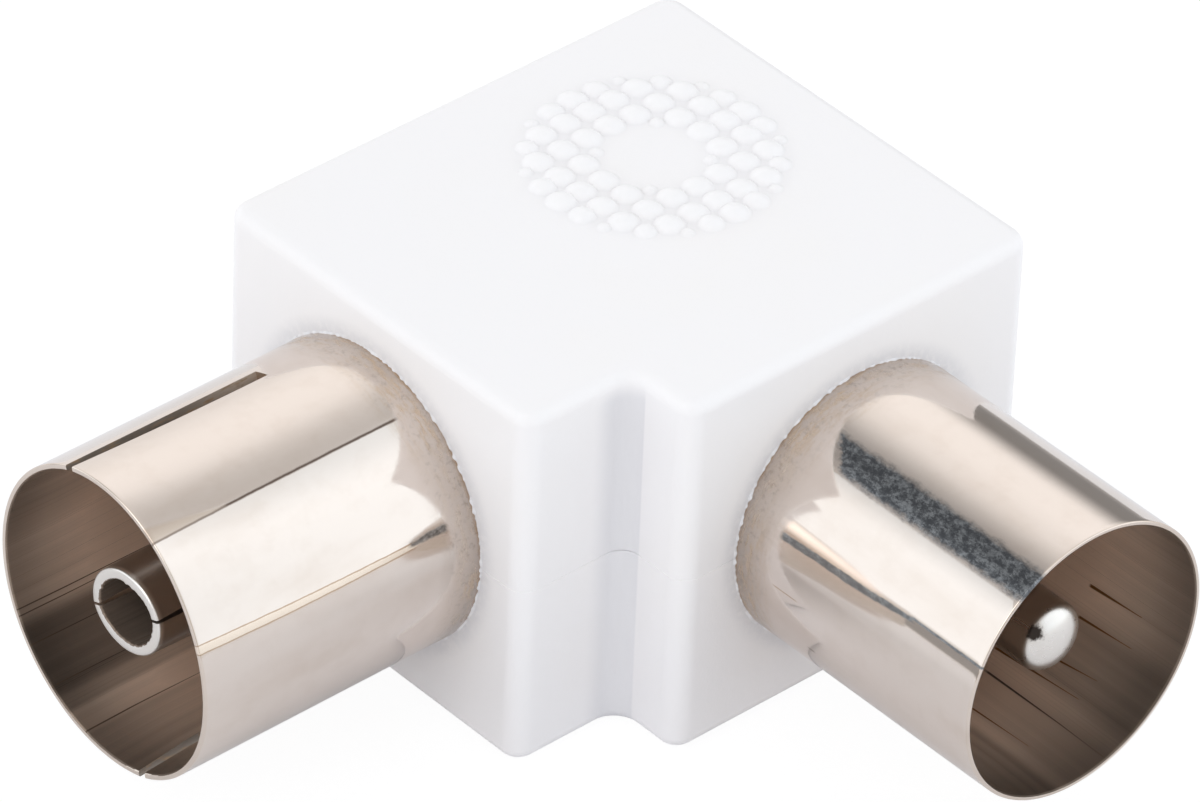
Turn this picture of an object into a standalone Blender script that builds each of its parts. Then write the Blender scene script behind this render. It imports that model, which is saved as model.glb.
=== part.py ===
"""Right-angle coaxial aerial adapter: a jack (female) and a plug (male) on one white moulded elbow.

The jack opens towards -Y and the plug points towards +X. Both connector axes lie at half the
body's height and cross above the origin, which is on the flat bottom face.
"""

import bmesh
import bpy
import numpy as np
from math import ceil, cos, hypot, pi, radians, sin
from mathutils import Matrix, Vector

MM = 0.001

# Clearances
SEAT_GAP = 0.05 * MM  # between pieces that seat on each other
WIRE_GAP = 0.1 * MM  # round the link wire in its solder cups

# Jack sleeve, a split spring sleeve that grips a 9.5 mm plug
JACK_DIAMETER = 10.1 * MM
JACK_WALL = 0.3 * MM
JACK_REACH = 10.35 * MM  # how far it stands out of the body
JACK_TILT = radians(20)  # its slots stand this far off the vertical
SLOT_WIDTH = 0.6 * MM
SLOT_LENGTH = 7.4 * MM
FAR_TANG_CLOSING = 0.18 * MM  # the half on the -X side leans in this far at the mouth
NEAR_TANG_CLOSING = 0.12 * MM
NEAR_TANG_FLATTENING = 0.33 * MM  # the half on the +X side is also pressed flatter
TANG_SPREAD = 0.1 * MM  # the slot edges stand out this far at the mouth

# Plug sleeve, a plain drawn sleeve
PLUG_DIAMETER = 9.5 * MM
PLUG_WALL = 0.25 * MM
PLUG_REACH = 10.2 * MM

# Root of either sleeve, held in the body
FLANGE_STEP = 0.5 * MM  # the flange stands out of the sleeve by this much
FLANGE_THICKNESS = 0.45 * MM
FLANGE_COVER = 1.0 * MM  # plastic in front of the flange
FLANGE_BACKING = 0.65 * MM  # plastic behind the flange
SLEEVE_TAIL = 1.0 * MM  # the sleeve runs on into the hollow by this much
CURL_STEP = 0.4 * MM  # the curled end that stops the insulator
CURL_THICKNESS = 0.3 * MM
RIM_BREAK = 0.06 * MM  # broken edge at a sleeve's mouth

# Body
TOP_COVER = 1.575 * MM  # plastic above and below the jack sleeve
BACK_COVER = 1.98 * MM  # plastic between the jack sleeve and a back face
INNER_COVER = 1.85 * MM  # plastic between the jack sleeve and a face of the notch
JACK_ARM = 4.1 * MM  # how far the jack's arm runs past the notch
PLUG_ARM = 2.6 * MM
SHELL_WALL = 0.9 * MM
LIP_HEIGHT = 0.6 * MM  # the lower shell's lip inside the upper one
CORNER_RADIUS = 0.7 * MM
UPPER_NOTCH_RADIUS = 0.66 * MM
LOWER_NOTCH_RADIUS = 0.78 * MM  # a little rounder, which leaves a small ledge at the seam
HOLLOW_NOTCH_RADIUS = 0.4 * MM
EDGE_RADIUS = 0.5 * MM

# Grip pattern on the top face
DOT_PITCH = 0.98 * MM
DOT_RADIUS = 0.47 * MM
DOT_HEIGHT = 0.26 * MM
DOT_SINK = 0.06 * MM  # the widest part of a dot lies this far under the face
DOT_SIDES = 10
DOT_ROWS = 6
RING_OUTER = 4.25 * MM
RING_INNER = 1.5 * MM
RING_OFFSET = 0.7 * MM  # from the crossing of the axes towards both back faces
RING_SLACK = DOT_RADIUS / 2  # dots whose middles lie this far out of the ring still show in part

# Jack contact, a split spring tube that takes the plug's pin
CONTACT_DIAMETER = 3.05 * MM
CONTACT_WALL = 0.33 * MM
CONTACT_RECESS = 0.77 * MM  # its tip lies this far inside the sleeve's mouth
CONTACT_BORE = 8.5 * MM
CONTACT_SLOT_WIDTH = 0.3 * MM
CONTACT_SLOT_LENGTH = 6.5 * MM
CONTACT_CLOSING = 0.1 * MM
CONTACT_SPREAD = 0.1 * MM

# Plug pin
PIN_DIAMETER = 2.3 * MM
PIN_RECESS = 1.0 * MM
PIN_DOME = 0.62 * MM  # how far its flattened end bulges

# Insulators, and what passes through them
INSULATOR_THICKNESS = 2.2 * MM
INSULATOR_GROOVE = 0.5 * MM
GROOVE_INNER = 2.3 * MM
GROOVE_RIM = 0.8 * MM
NECK_RADIUS = 1.0 * MM
COLLAR_STEP = 0.5 * MM  # the collar stands out of the neck by this much
COLLAR_THICKNESS = 0.5 * MM
CUP_WALL = 0.35 * MM
CUP_LENGTH = 1.8 * MM
CUP_DEPTH = 1.4 * MM

# Link wire between the two cups
WIRE_RADIUS = 0.4 * MM
WIRE_BEND = 2.8 * MM
WIRE_ENTRY = 1.2 * MM  # how far it reaches into each cup
WIRE_STEPS = 8

# Screen, a folded sheet elbow with a lid
SCREEN_SHEET = 0.3 * MM

# Worked out from the sizes above
JACK_RADIUS = JACK_DIAMETER / 2
PLUG_RADIUS = PLUG_DIAMETER / 2
BODY_HEIGHT = JACK_DIAMETER + 2 * TOP_COVER
AXIS_HEIGHT = BODY_HEIGHT / 2
BACK_OFFSET = JACK_RADIUS + BACK_COVER
INNER_OFFSET = JACK_RADIUS + INNER_COVER
JACK_FACE = INNER_OFFSET + JACK_ARM
PLUG_FACE = INNER_OFFSET + PLUG_ARM
END_WALL = FLANGE_COVER + FLANGE_THICKNESS + 2 * SEAT_GAP + FLANGE_BACKING
JACK_MOUTH = JACK_FACE + JACK_REACH
PLUG_MOUTH = PLUG_FACE + PLUG_REACH
CUP_BORE = WIRE_RADIUS + WIRE_GAP
CUP_RADIUS = CUP_BORE + CUP_WALL
PIN_RADIUS = PIN_DIAMETER / 2
CONTACT_RADIUS = CONTACT_DIAMETER / 2

# Facets
ROUND_STEPS = 64
SMALL_STEPS = 28
CORNER_STEPS = 4
EDGE_STEPS = 4
TANG_RINGS = 5
MERGE = 0.001 * MM
FLAT = radians(1)


def clear_scene():
    for old in list(bpy.data.objects):
        bpy.data.objects.remove(old, do_unlink=True)


def new_collection(name):
    group = bpy.data.collections.new(name)
    bpy.context.scene.collection.children.link(group)
    return group


def material(name, colour, roughness, metallic):
    made = bpy.data.materials.new(name)
    made.use_nodes = True
    shader = made.node_tree.nodes["Principled BSDF"]
    shader.inputs["Base Color"].default_value = (*colour, 1.0)
    shader.inputs["Roughness"].default_value = roughness
    shader.inputs["Metallic"].default_value = metallic
    made.diffuse_color = (*colour, 1.0)
    return made


def white_plastic():
    return material("white_plastic", (0.86, 0.86, 0.87), 0.42, 0.0)


def nickel_plate():
    return material("nickel_plate", (0.72, 0.67, 0.61), 0.18, 1.0)


def insulator_plastic():
    return material("insulator_plastic", (0.22, 0.19, 0.17), 0.55, 0.0)


def tinned_sheet():
    return material("tinned_sheet", (0.66, 0.67, 0.68), 0.35, 1.0)


def tinned_wire():
    return material("tinned_wire", (0.78, 0.76, 0.72), 0.3, 1.0)


def as_mesh(obj, group, name):
    """A plain mesh object in world space with the object's shape and modifiers made final."""
    bpy.context.view_layer.update()
    graph = bpy.context.evaluated_depsgraph_get()
    mesh = bpy.data.meshes.new_from_object(obj.evaluated_get(graph))
    work = bmesh.new()
    work.from_mesh(mesh)
    bmesh.ops.remove_doubles(work, verts=work.verts, dist=MERGE)
    work.to_mesh(mesh)
    work.free()
    made = bpy.data.objects.new(name, mesh)
    made.matrix_world = obj.matrix_world.copy()
    group.objects.link(made)
    bpy.data.objects.remove(obj, do_unlink=True)
    made.name = name
    return made


def as_cutter(obj):
    obj.hide_render = True
    obj.display_type = "WIRE"
    return obj


def axis_empty(name, turn, group):
    """A connector's frame: its Z runs out along the connector from the crossing of the axes."""
    empty = bpy.data.objects.new(name, None)
    empty.location = (0, 0, AXIS_HEIGHT)
    empty.rotation_euler = turn
    group.objects.link(empty)
    return empty


def turned(name, profile, group, parent, steps, closed):
    """A turned piece about its parent's Z. The profile's outer side runs down from the mouth."""
    count = len(profile)
    points = [(radius, 0, height) for radius, height in profile]
    edges = [(i, i + 1) for i in range(count - 1)]
    if closed:
        edges.append((count - 1, 0))
    mesh = bpy.data.meshes.new(name)
    mesh.from_pydata(points, edges, [])
    obj = bpy.data.objects.new(name, mesh)
    obj.parent = parent
    group.objects.link(obj)
    screw = obj.modifiers.new("turn", "SCREW")
    screw.steps = steps
    screw.render_steps = steps
    screw.use_merge_vertices = True
    screw.merge_threshold = MERGE
    screw.use_smooth_shade = True
    return obj


def rounded_outline(corners, convex_radius, concave_radius, steps):
    """The closed outline through the corners, anticlockwise, with each corner made an arc."""
    outline = []
    for i, corner in enumerate(corners):
        here = Vector(corner)
        into = (here - Vector(corners[i - 1])).normalized()
        out = (Vector(corners[(i + 1) % len(corners)]) - here).normalized()
        side = 1 if into.cross(out) > 0 else -1
        radius = convex_radius if side > 0 else concave_radius
        centre = here - into * radius + out * radius
        start = -out * radius
        for k in range(steps + 1):
            turn = Matrix.Rotation(side * pi / 2 * k / steps, 2)
            outline.append(centre + turn @ start)
    return outline


def elbow_corners(inset, end_inset):
    """The elbow's plan, drawn in from the body's faces, and from its two end faces."""
    back = BACK_OFFSET - inset
    inner = INNER_OFFSET - inset
    jack = JACK_FACE - end_inset
    plug = PLUG_FACE - end_inset
    return [
        (-back, -jack),
        (inner, -jack),
        (inner, -inner),
        (plug, -inner),
        (plug, back),
        (-back, back),
    ]


def elbow_block(name, insets, notch_radius, heights, group):
    """An upright block on the elbow's plan, with insets from its sides and from its ends."""
    low, high = heights
    convex = max(CORNER_RADIUS - insets[0], SEAT_GAP)
    outline = rounded_outline(elbow_corners(*insets), convex, notch_radius, CORNER_STEPS)
    data = bpy.data.curves.new(name, "CURVE")
    data.dimensions = "2D"
    data.fill_mode = "BOTH"
    data.extrude = (high - low) / 2
    spline = data.splines.new("POLY")
    spline.points.add(len(outline) - 1)
    for point, place in zip(spline.points, outline):
        point.co = (place.x, place.y, 0, 1)
    spline.use_cyclic_u = True
    curve = bpy.data.objects.new(name, data)
    curve.location = (0, 0, (low + high) / 2)
    group.objects.link(curve)
    return as_mesh(curve, group, name)


def round_rim(obj, height):
    """Rounds the block's edges that lie at this height."""
    work = bmesh.new()
    work.from_mesh(obj.data)
    bmesh.ops.transform(work, matrix=obj.matrix_world, verts=work.verts)
    bmesh.ops.dissolve_limit(work, angle_limit=FLAT, verts=work.verts, edges=work.edges)
    weight = work.edges.layers.float.new("bevel_weight_edge")
    for edge in work.edges:
        edge[weight] = float(all(abs(vertex.co.z - height) < MERGE for vertex in edge.verts))
    work.to_mesh(obj.data)
    work.free()
    obj.matrix_world = Matrix.Identity(4)
    bevel = obj.modifiers.new("rim", "BEVEL")
    bevel.limit_method = "WEIGHT"
    bevel.width = EDGE_RADIUS
    bevel.segments = EDGE_STEPS


def combine(obj, other, operation):
    step = obj.modifiers.new(other.name, "BOOLEAN")
    step.object = other
    step.operation = operation
    step.solver = "EXACT"


def box_cutter(name, size, centre, parent, group):
    mesh = bpy.data.meshes.new(name)
    work = bmesh.new()
    bmesh.ops.create_cube(work, size=1.0, matrix=Matrix.Diagonal((*size, 1.0)))
    work.to_mesh(mesh)
    work.free()
    obj = bpy.data.objects.new(name, mesh)
    obj.parent = parent
    obj.location = centre
    group.objects.link(obj)
    return as_cutter(obj)


def smooth(obj, angle=35):
    obj.data.shade_smooth()
    obj.data.set_sharp_from_angle(angle=radians(angle))


def sleeve_bore(name, radius, face, parent, group):
    """The stepped hole in the body for a sleeve and its flange."""
    flange_front = face - FLANGE_COVER + SEAT_GAP
    flange_back = face - FLANGE_COVER - FLANGE_THICKNESS - SEAT_GAP
    hole = radius + SEAT_GAP
    groove = radius + FLANGE_STEP + SEAT_GAP
    outside = face + CORNER_RADIUS
    inside = face - END_WALL - SLEEVE_TAIL
    profile = [
        (0, outside),
        (hole, outside),
        (hole, flange_front),
        (groove, flange_front),
        (groove, flange_back),
        (hole, flange_back),
        (hole, inside),
        (0, inside),
    ]
    return as_cutter(turned(name, profile, group, parent, ROUND_STEPS, False))


def dot_places():
    """The square grid of dots, as places relative to the ring's centre."""
    reach = ceil(RING_OUTER / DOT_PITCH)
    places = []
    for i in range(-reach, reach + 1):
        for j in range(-reach, reach + 1):
            far = hypot(i, j) * DOT_PITCH
            if RING_INNER - RING_SLACK < far < RING_OUTER + RING_SLACK:
                places.append((i * DOT_PITCH, j * DOT_PITCH))
    return places


def grip_dots(cutters):
    """Low domes on a square grid, trimmed to a ring with sloping sides."""
    mesh = bpy.data.meshes.new("grip_dots")
    work = bmesh.new()
    dome = Matrix.Diagonal((DOT_RADIUS, DOT_RADIUS, DOT_HEIGHT + DOT_SINK, 1.0))
    for x, y in dot_places():
        place = Matrix.Translation((x, y, -DOT_SINK)) @ dome
        bmesh.ops.create_uvsphere(
            work, u_segments=DOT_SIDES, v_segments=DOT_ROWS, radius=1.0, matrix=place
        )
    work.to_mesh(mesh)
    work.free()
    dots = bpy.data.objects.new("grip_dots", mesh)
    dots.location = (-RING_OFFSET, RING_OFFSET, BODY_HEIGHT)
    cutters.objects.link(dots)
    tall = 3 * DOT_HEIGHT
    slope = tall / 2
    outline = [
        (RING_OUTER - slope, tall),
        (RING_OUTER + slope, -tall),
        (RING_INNER - slope, -tall),
        (RING_INNER + slope, tall),
    ]
    ring = turned("ring_trim", outline, cutters, None, ROUND_STEPS, True)
    ring.location = dots.location
    combine(dots, as_cutter(ring), "INTERSECT")
    return as_cutter(as_mesh(dots, cutters, "trimmed_dots"))


def make_shells(parts, cutters, jack_axis, plug_axis, plastic):
    """The two moulded halves, which meet in a lapped seam at the height of the axes."""
    seam = AXIS_HEIGHT
    heights = (SHELL_WALL, BODY_HEIGHT - SHELL_WALL)
    hollow = elbow_block("hollow", (SHELL_WALL, END_WALL), HOLLOW_NOTCH_RADIUS, heights, cutters)
    as_cutter(hollow)
    jack_bore = sleeve_bore("jack_bore", JACK_RADIUS, JACK_FACE, jack_axis, cutters)
    plug_bore = sleeve_bore("plug_bore", PLUG_RADIUS, PLUG_FACE, plug_axis, cutters)

    lower = elbow_block("lower_half", (0, 0), LOWER_NOTCH_RADIUS, (0, seam - SEAT_GAP / 2), cutters)
    round_rim(lower, 0)
    inset = SHELL_WALL / 2 + SEAT_GAP
    heights = (seam / 2, seam + LIP_HEIGHT)
    lip = elbow_block("lip", (inset, inset), LOWER_NOTCH_RADIUS + inset, heights, cutters)
    combine(lower, as_cutter(lip), "UNION")

    heights = (seam + SEAT_GAP / 2, BODY_HEIGHT)
    upper = elbow_block("upper_half", (0, 0), UPPER_NOTCH_RADIUS, heights, cutters)
    round_rim(upper, BODY_HEIGHT)
    combine(upper, grip_dots(cutters), "UNION")
    inset = SHELL_WALL / 2
    heights = (seam / 2, seam + LIP_HEIGHT + SEAT_GAP)
    rebate = elbow_block("rebate", (inset, inset), LOWER_NOTCH_RADIUS + inset, heights, cutters)
    combine(upper, as_cutter(rebate), "DIFFERENCE")

    for half, name in ((lower, "lower_shell"), (upper, "upper_shell")):
        for cutter in (hollow, jack_bore, plug_bore):
            combine(half, cutter, "DIFFERENCE")
        shell = as_mesh(half, parts, name)
        smooth(shell)
        shell.data.materials.append(plastic)


def sleeve_profile(radius, wall, face, mouth, rings):
    """Outer side from the mouth to the tail, then back up the inside over the curled end."""
    inner = radius - wall
    flange_front = face - FLANGE_COVER
    flange_back = flange_front - FLANGE_THICKNESS
    tail = face - END_WALL - SLEEVE_TAIL
    down = [(radius - RIM_BREAK, mouth)] + [(radius, height) for height in rings]
    flange = [
        (radius, flange_front),
        (radius + FLANGE_STEP, flange_front),
        (radius + FLANGE_STEP, flange_back),
        (radius, flange_back),
    ]
    curl = [
        (radius, tail),
        (inner - CURL_STEP, tail),
        (inner - CURL_STEP, tail + CURL_THICKNESS),
        (inner, tail + CURL_THICKNESS),
    ]
    up = [(inner, height) for height in reversed(rings)] + [(inner + RIM_BREAK, mouth)]
    return down + flange + curl + up


def lean_in(obj, root, mouth, lean):
    """Bends split halves towards each other: none at the slots' root, most at the mouth."""
    for vertex in obj.data.vertices:
        far = (vertex.co.z - root) / (mouth - root)
        if far > 0:
            vertex.co.x, vertex.co.y = lean(vertex.co.x, vertex.co.y, far * far)


def lean_sleeve(x, y, share):
    """The sleeve's slots lie at top and bottom, so its halves lean along X."""
    across = x / hypot(x, y)
    along = y / hypot(x, y)
    if across > 0:
        lean = -NEAR_TANG_CLOSING - NEAR_TANG_FLATTENING * across * across
    else:
        lean = FAR_TANG_CLOSING
    return x + lean * share, y + along * TANG_SPREAD * share


def lean_contact(x, y, share):
    """The contact's slots lie left and right, so its halves lean along Y."""
    side = 1 if y > 0 else -1
    return x + x / hypot(x, y) * CONTACT_SPREAD * share, y - side * CONTACT_CLOSING * share


def make_jack_sleeve(parts, cutters, axis, nickel):
    root = JACK_MOUTH - SLOT_LENGTH
    top = JACK_MOUTH - RIM_BREAK
    rings = [float(z) for z in np.linspace(top, root, TANG_RINGS)]
    profile = sleeve_profile(JACK_RADIUS, JACK_WALL, JACK_FACE, JACK_MOUTH, rings)
    tube = turned("jack_tube", profile, parts, axis, ROUND_STEPS, True)
    length = SLOT_LENGTH + JACK_WALL
    size = (SLOT_WIDTH, JACK_DIAMETER + 2 * JACK_WALL, length)
    slot = box_cutter("sleeve_slots", size, (0, 0, root + length / 2), axis, cutters)
    combine(tube, slot, "DIFFERENCE")
    sleeve = as_mesh(tube, parts, "jack_sleeve")
    lean_in(sleeve, root, JACK_MOUTH, lean_sleeve)
    smooth(sleeve)
    sleeve.data.materials.append(nickel)


def make_plug_sleeve(parts, axis, nickel):
    rings = [PLUG_MOUTH - RIM_BREAK]
    profile = sleeve_profile(PLUG_RADIUS, PLUG_WALL, PLUG_FACE, PLUG_MOUTH, rings)
    sleeve = turned("plug_sleeve", profile, parts, axis, ROUND_STEPS, True)
    sleeve.data.materials.append(nickel)


def insulator_span(face):
    """Heights of an insulator's back and front in its connector's frame."""
    back = face - END_WALL - SLEEVE_TAIL + CURL_THICKNESS + SEAT_GAP
    return back, back + INSULATOR_THICKNESS


def make_insulator(name, radius, wall, face, parts, axis, plastic):
    """A disc with a moulded groove round its raised middle."""
    back, front = insulator_span(face)
    outer = radius - wall - SEAT_GAP
    hole = NECK_RADIUS + SEAT_GAP
    floor = front - INSULATOR_GROOVE
    profile = [
        (outer, front),
        (outer, back),
        (hole, back),
        (hole, front),
        (GROOVE_INNER, front),
        (GROOVE_INNER, floor),
        (outer - GROOVE_RIM, floor),
        (outer - GROOVE_RIM, front),
    ]
    disc = turned(name, profile, parts, axis, ROUND_STEPS, True)
    disc.data.materials.append(plastic)


def rear_profile(face):
    """From the insulator's front back to the solder cup: neck, collar, cup and its bore."""
    back, front = insulator_span(face)
    collar_front = back - SEAT_GAP
    collar_back = collar_front - COLLAR_THICKNESS
    cup_end = collar_back - CUP_LENGTH
    collar = NECK_RADIUS + COLLAR_STEP
    return [
        (NECK_RADIUS, front + SEAT_GAP),
        (NECK_RADIUS, collar_front),
        (collar, collar_front),
        (collar, collar_back),
        (CUP_RADIUS, collar_back),
        (CUP_RADIUS, cup_end),
        (CUP_BORE, cup_end),
        (CUP_BORE, cup_end + CUP_DEPTH),
        (0, cup_end + CUP_DEPTH),
    ]


def cup_end(face):
    return rear_profile(face)[5][1]


def make_jack_contact(parts, cutters, axis, nickel):
    tip = JACK_MOUTH - CONTACT_RECESS
    inner = CONTACT_RADIUS - CONTACT_WALL
    root = tip - CONTACT_SLOT_LENGTH
    shoulder = insulator_span(JACK_FACE)[1] + SEAT_GAP
    rings = [float(z) for z in np.linspace(tip - RIM_BREAK, root, TANG_RINGS)]
    profile = [(0, tip - CONTACT_BORE), (inner, tip - CONTACT_BORE)]
    profile += [(inner, height) for height in reversed(rings)]
    profile += [(inner + RIM_BREAK, tip), (CONTACT_RADIUS - RIM_BREAK, tip)]
    profile += [(CONTACT_RADIUS, height) for height in rings]
    profile += [(CONTACT_RADIUS, shoulder)] + rear_profile(JACK_FACE)
    tube = turned("contact_tube", profile, parts, axis, SMALL_STEPS, False)
    length = CONTACT_SLOT_LENGTH + CONTACT_WALL
    size = (CONTACT_DIAMETER + 2 * CONTACT_WALL, CONTACT_SLOT_WIDTH, length)
    slot = box_cutter("contact_slots", size, (0, 0, root + length / 2), axis, cutters)
    combine(tube, slot, "DIFFERENCE")
    contact = as_mesh(tube, parts, "jack_contact")
    lean_in(contact, root, tip, lean_contact)
    smooth(contact)
    contact.data.materials.append(nickel)


def make_plug_pin(parts, axis, nickel):
    """A round-ended pin that seats on the front of its insulator."""
    tip = PLUG_MOUTH - PIN_RECESS
    shoulder = insulator_span(PLUG_FACE)[1] + SEAT_GAP
    bends = [pi / 2 * k / EDGE_STEPS for k in range(EDGE_STEPS + 1)]
    profile = [(PIN_RADIUS * sin(a), tip - PIN_DOME * (1 - cos(a))) for a in bends]
    profile += [(PIN_RADIUS, shoulder)] + rear_profile(PLUG_FACE)
    pin = turned("plug_pin", profile, parts, axis, SMALL_STEPS, False)
    pin.data.materials.append(nickel)


def make_centre_link(parts, tin):
    """A bent wire from the jack contact's cup to the plug pin's cup."""
    start = cup_end(JACK_FACE) + WIRE_ENTRY
    finish = cup_end(PLUG_FACE) + WIRE_ENTRY
    turns = [pi / 2 * k / WIRE_STEPS for k in range(WIRE_STEPS + 1)]
    bend = [(WIRE_BEND * (1 - cos(a)), WIRE_BEND * (sin(a) - 1)) for a in turns]
    route = [(0, -start)] + bend + [(finish, 0)]
    data = bpy.data.curves.new("centre_link", "CURVE")
    data.dimensions = "3D"
    data.bevel_depth = WIRE_RADIUS
    data.bevel_resolution = 2
    data.use_fill_caps = True
    spline = data.splines.new("POLY")
    spline.points.add(len(route) - 1)
    for point, (x, y) in zip(spline.points, route):
        point.co = (x, y, AXIS_HEIGHT, 1)
    spline.use_smooth = True
    wire = bpy.data.objects.new("centre_link", data)
    data.materials.append(tin)
    parts.objects.link(wire)


def make_screen(parts, cutters, jack_axis, plug_axis, tin):
    """The sheet elbow that joins both sleeves, and its lid."""
    bend = HOLLOW_NOTCH_RADIUS + SEAT_GAP
    outside = SHELL_WALL + SEAT_GAP
    inside = outside + SCREEN_SHEET
    outsets = (outside, END_WALL + SEAT_GAP)
    insets = (inside, END_WALL + SEAT_GAP + SCREEN_SHEET)
    lid_top = BODY_HEIGHT - outside
    lid_low = lid_top - SCREEN_SHEET
    frame = elbow_block("screen_frame", outsets, bend, (outside, lid_low - SEAT_GAP), parts)
    room = elbow_block(
        "screen_room", insets, bend + SCREEN_SHEET, (inside, BODY_HEIGHT), cutters
    )
    combine(frame, as_cutter(room), "DIFFERENCE")
    for name, radius, face, axis in (
        ("jack_hole", JACK_RADIUS, JACK_FACE, jack_axis),
        ("plug_hole", PLUG_RADIUS, PLUG_FACE, plug_axis),
    ):
        hole = radius + SEAT_GAP
        far = face
        near = face - insets[1] - SCREEN_SHEET
        profile = [(0, far), (hole, far), (hole, near), (0, near)]
        cutter = turned(name, profile, cutters, axis, ROUND_STEPS, False)
        combine(frame, as_cutter(cutter), "DIFFERENCE")
    lid = elbow_block("screen_lid", outsets, bend, (lid_low, lid_top), parts)
    for piece in (frame, lid):
        piece.data.materials.append(tin)


def main():
    clear_scene()
    parts = new_collection("coax_adapter")
    cutters = new_collection("cutters")
    jack_axis = axis_empty("jack_axis", (pi / 2, -JACK_TILT, 0), parts)
    plug_axis = axis_empty("plug_axis", (0, pi / 2, 0), parts)
    plastic = white_plastic()
    nickel = nickel_plate()
    insulation = insulator_plastic()
    sheet = tinned_sheet()
    make_shells(parts, cutters, jack_axis, plug_axis, plastic)
    make_jack_sleeve(parts, cutters, jack_axis, nickel)
    make_plug_sleeve(parts, plug_axis, nickel)
    make_insulator(
        "jack_insulator", JACK_RADIUS, JACK_WALL, JACK_FACE, parts, jack_axis, insulation
    )
    make_insulator(
        "plug_insulator", PLUG_RADIUS, PLUG_WALL, PLUG_FACE, parts, plug_axis, insulation
    )
    make_jack_contact(parts, cutters, jack_axis, nickel)
    make_plug_pin(parts, plug_axis, nickel)
    make_centre_link(parts, tinned_wire())
    make_screen(parts, cutters, jack_axis, plug_axis, sheet)


main()
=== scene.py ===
"""Looks of the right-angle aerial adapter: moulded shells, sleeves, contact, pin and studio."""

from math import cos, hypot, pi, radians, sin, tan

import bmesh
import bpy
import numpy as np
from mathutils import Euler, Matrix, Vector, noise


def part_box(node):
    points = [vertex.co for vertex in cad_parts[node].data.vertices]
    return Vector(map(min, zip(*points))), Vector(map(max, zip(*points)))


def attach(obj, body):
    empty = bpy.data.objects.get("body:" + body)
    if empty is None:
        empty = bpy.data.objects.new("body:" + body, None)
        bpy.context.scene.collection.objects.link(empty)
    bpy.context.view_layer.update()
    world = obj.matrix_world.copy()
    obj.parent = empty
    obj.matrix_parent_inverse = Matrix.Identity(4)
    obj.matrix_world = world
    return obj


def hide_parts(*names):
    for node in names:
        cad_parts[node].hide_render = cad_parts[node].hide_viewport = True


bl_info = {
    "name": "Aerial adapter",
    "version": (1, 0, 0),
    "blender": (4, 5, 0),
    "location": "3D View > Sidebar > Adapter",
    "description": "Builds the visible pieces of a right-angle aerial adapter and its studio",
    "category": "Object",
}

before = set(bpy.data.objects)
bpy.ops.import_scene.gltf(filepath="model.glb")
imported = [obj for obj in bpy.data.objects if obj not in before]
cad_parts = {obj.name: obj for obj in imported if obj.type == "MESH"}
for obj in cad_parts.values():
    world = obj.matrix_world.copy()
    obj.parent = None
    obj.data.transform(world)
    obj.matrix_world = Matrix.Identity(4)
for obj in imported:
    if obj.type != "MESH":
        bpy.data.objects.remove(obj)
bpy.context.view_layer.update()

MM = 0.001

UPPER_LOW, UPPER_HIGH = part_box("upper_shell")
JACK_LOW, JACK_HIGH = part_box("jack_sleeve")
PLUG_LOW, PLUG_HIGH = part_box("plug_sleeve")
CONTACT_LOW, CONTACT_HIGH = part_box("jack_contact")
PIN_LOW, PIN_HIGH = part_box("plug_pin")

LEVEL = 13.25 * MM  # the flat top, under the domes
AXIS_HEIGHT = LEVEL / 2


def length(name, description, default):
    """A property that holds a length."""
    return bpy.props.FloatProperty(
        name=name, description=description, default=default, unit="LENGTH", subtype="DISTANCE"
    )


def turn(name, description, default):
    """A property that holds an angle."""
    return bpy.props.FloatProperty(
        name=name, description=description, default=default, unit="ROTATION", subtype="ANGLE"
    )


def colour(name, description, default):
    """A property that holds a colour."""
    return bpy.props.FloatVectorProperty(
        name=name, description=description, default=default, size=3, subtype="COLOR"
    )


def level(name, description, default):
    """A property that holds a plain number."""
    return bpy.props.FloatProperty(name=name, description=description, default=default)


class BodySizes(bpy.types.PropertyGroup):
    """Sizes of the moulded elbow."""

    back: length("Back", "Distance from the axes to a back face", -float(UPPER_LOW[0]))
    inner: length("Inner", "Distance from the axes to a face of the notch", 6.9 * MM)
    jack_face: length("Jack face", "Distance to the jack's end face", -float(UPPER_LOW[1]))
    plug_face: length("Plug face", "Distance to the plug's end face", float(UPPER_HIGH[0]))
    wall: length("Wall", "Thickness of the shells", 0.9 * MM)
    end_wall: length("End wall", "Thickness of the ends that hold the sleeves", 2.2 * MM)
    corner: length("Corner", "Radius of the upright edges", 0.7 * MM)
    edge: length("Edge", "Radius of the edges of the top and the bottom", 0.5 * MM)
    notch: length("Notch", "Radius of the inside corner of the upper shell", 0.66 * MM)
    ledge: length("Ledge", "How much rounder the lower shell's inside corner is", 0.12 * MM)
    seam_edge: length("Seam edge", "Broken edge along the seam", 0.02 * MM)
    flash: length("Flash", "Height of the thin uneven flash round the sleeves", 0.06 * MM)
    hollow_notch: length("Hollow notch", "Radius of the hollow's inside corner", 0.4 * MM)


class GripSizes(bpy.types.PropertyGroup):
    """Sizes of the ring of domes on the top."""

    pitch: length("Pitch", "Distance between domes", 0.98 * MM)
    radius: length("Radius", "Radius of a dome", 0.53 * MM)
    height: length("Height", "Height of a dome", float(UPPER_HIGH[2]) - LEVEL)
    outer: length("Outer", "Outer radius of the ring", 4.25 * MM)
    hole: length("Hole", "Radius of the plain middle", 1.5 * MM)
    offset: length("Offset", "From the axes to the ring's middle, both ways", 0.7 * MM)
    cell: length("Cell", "Mesh size on the domes", 0.045 * MM)


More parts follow.
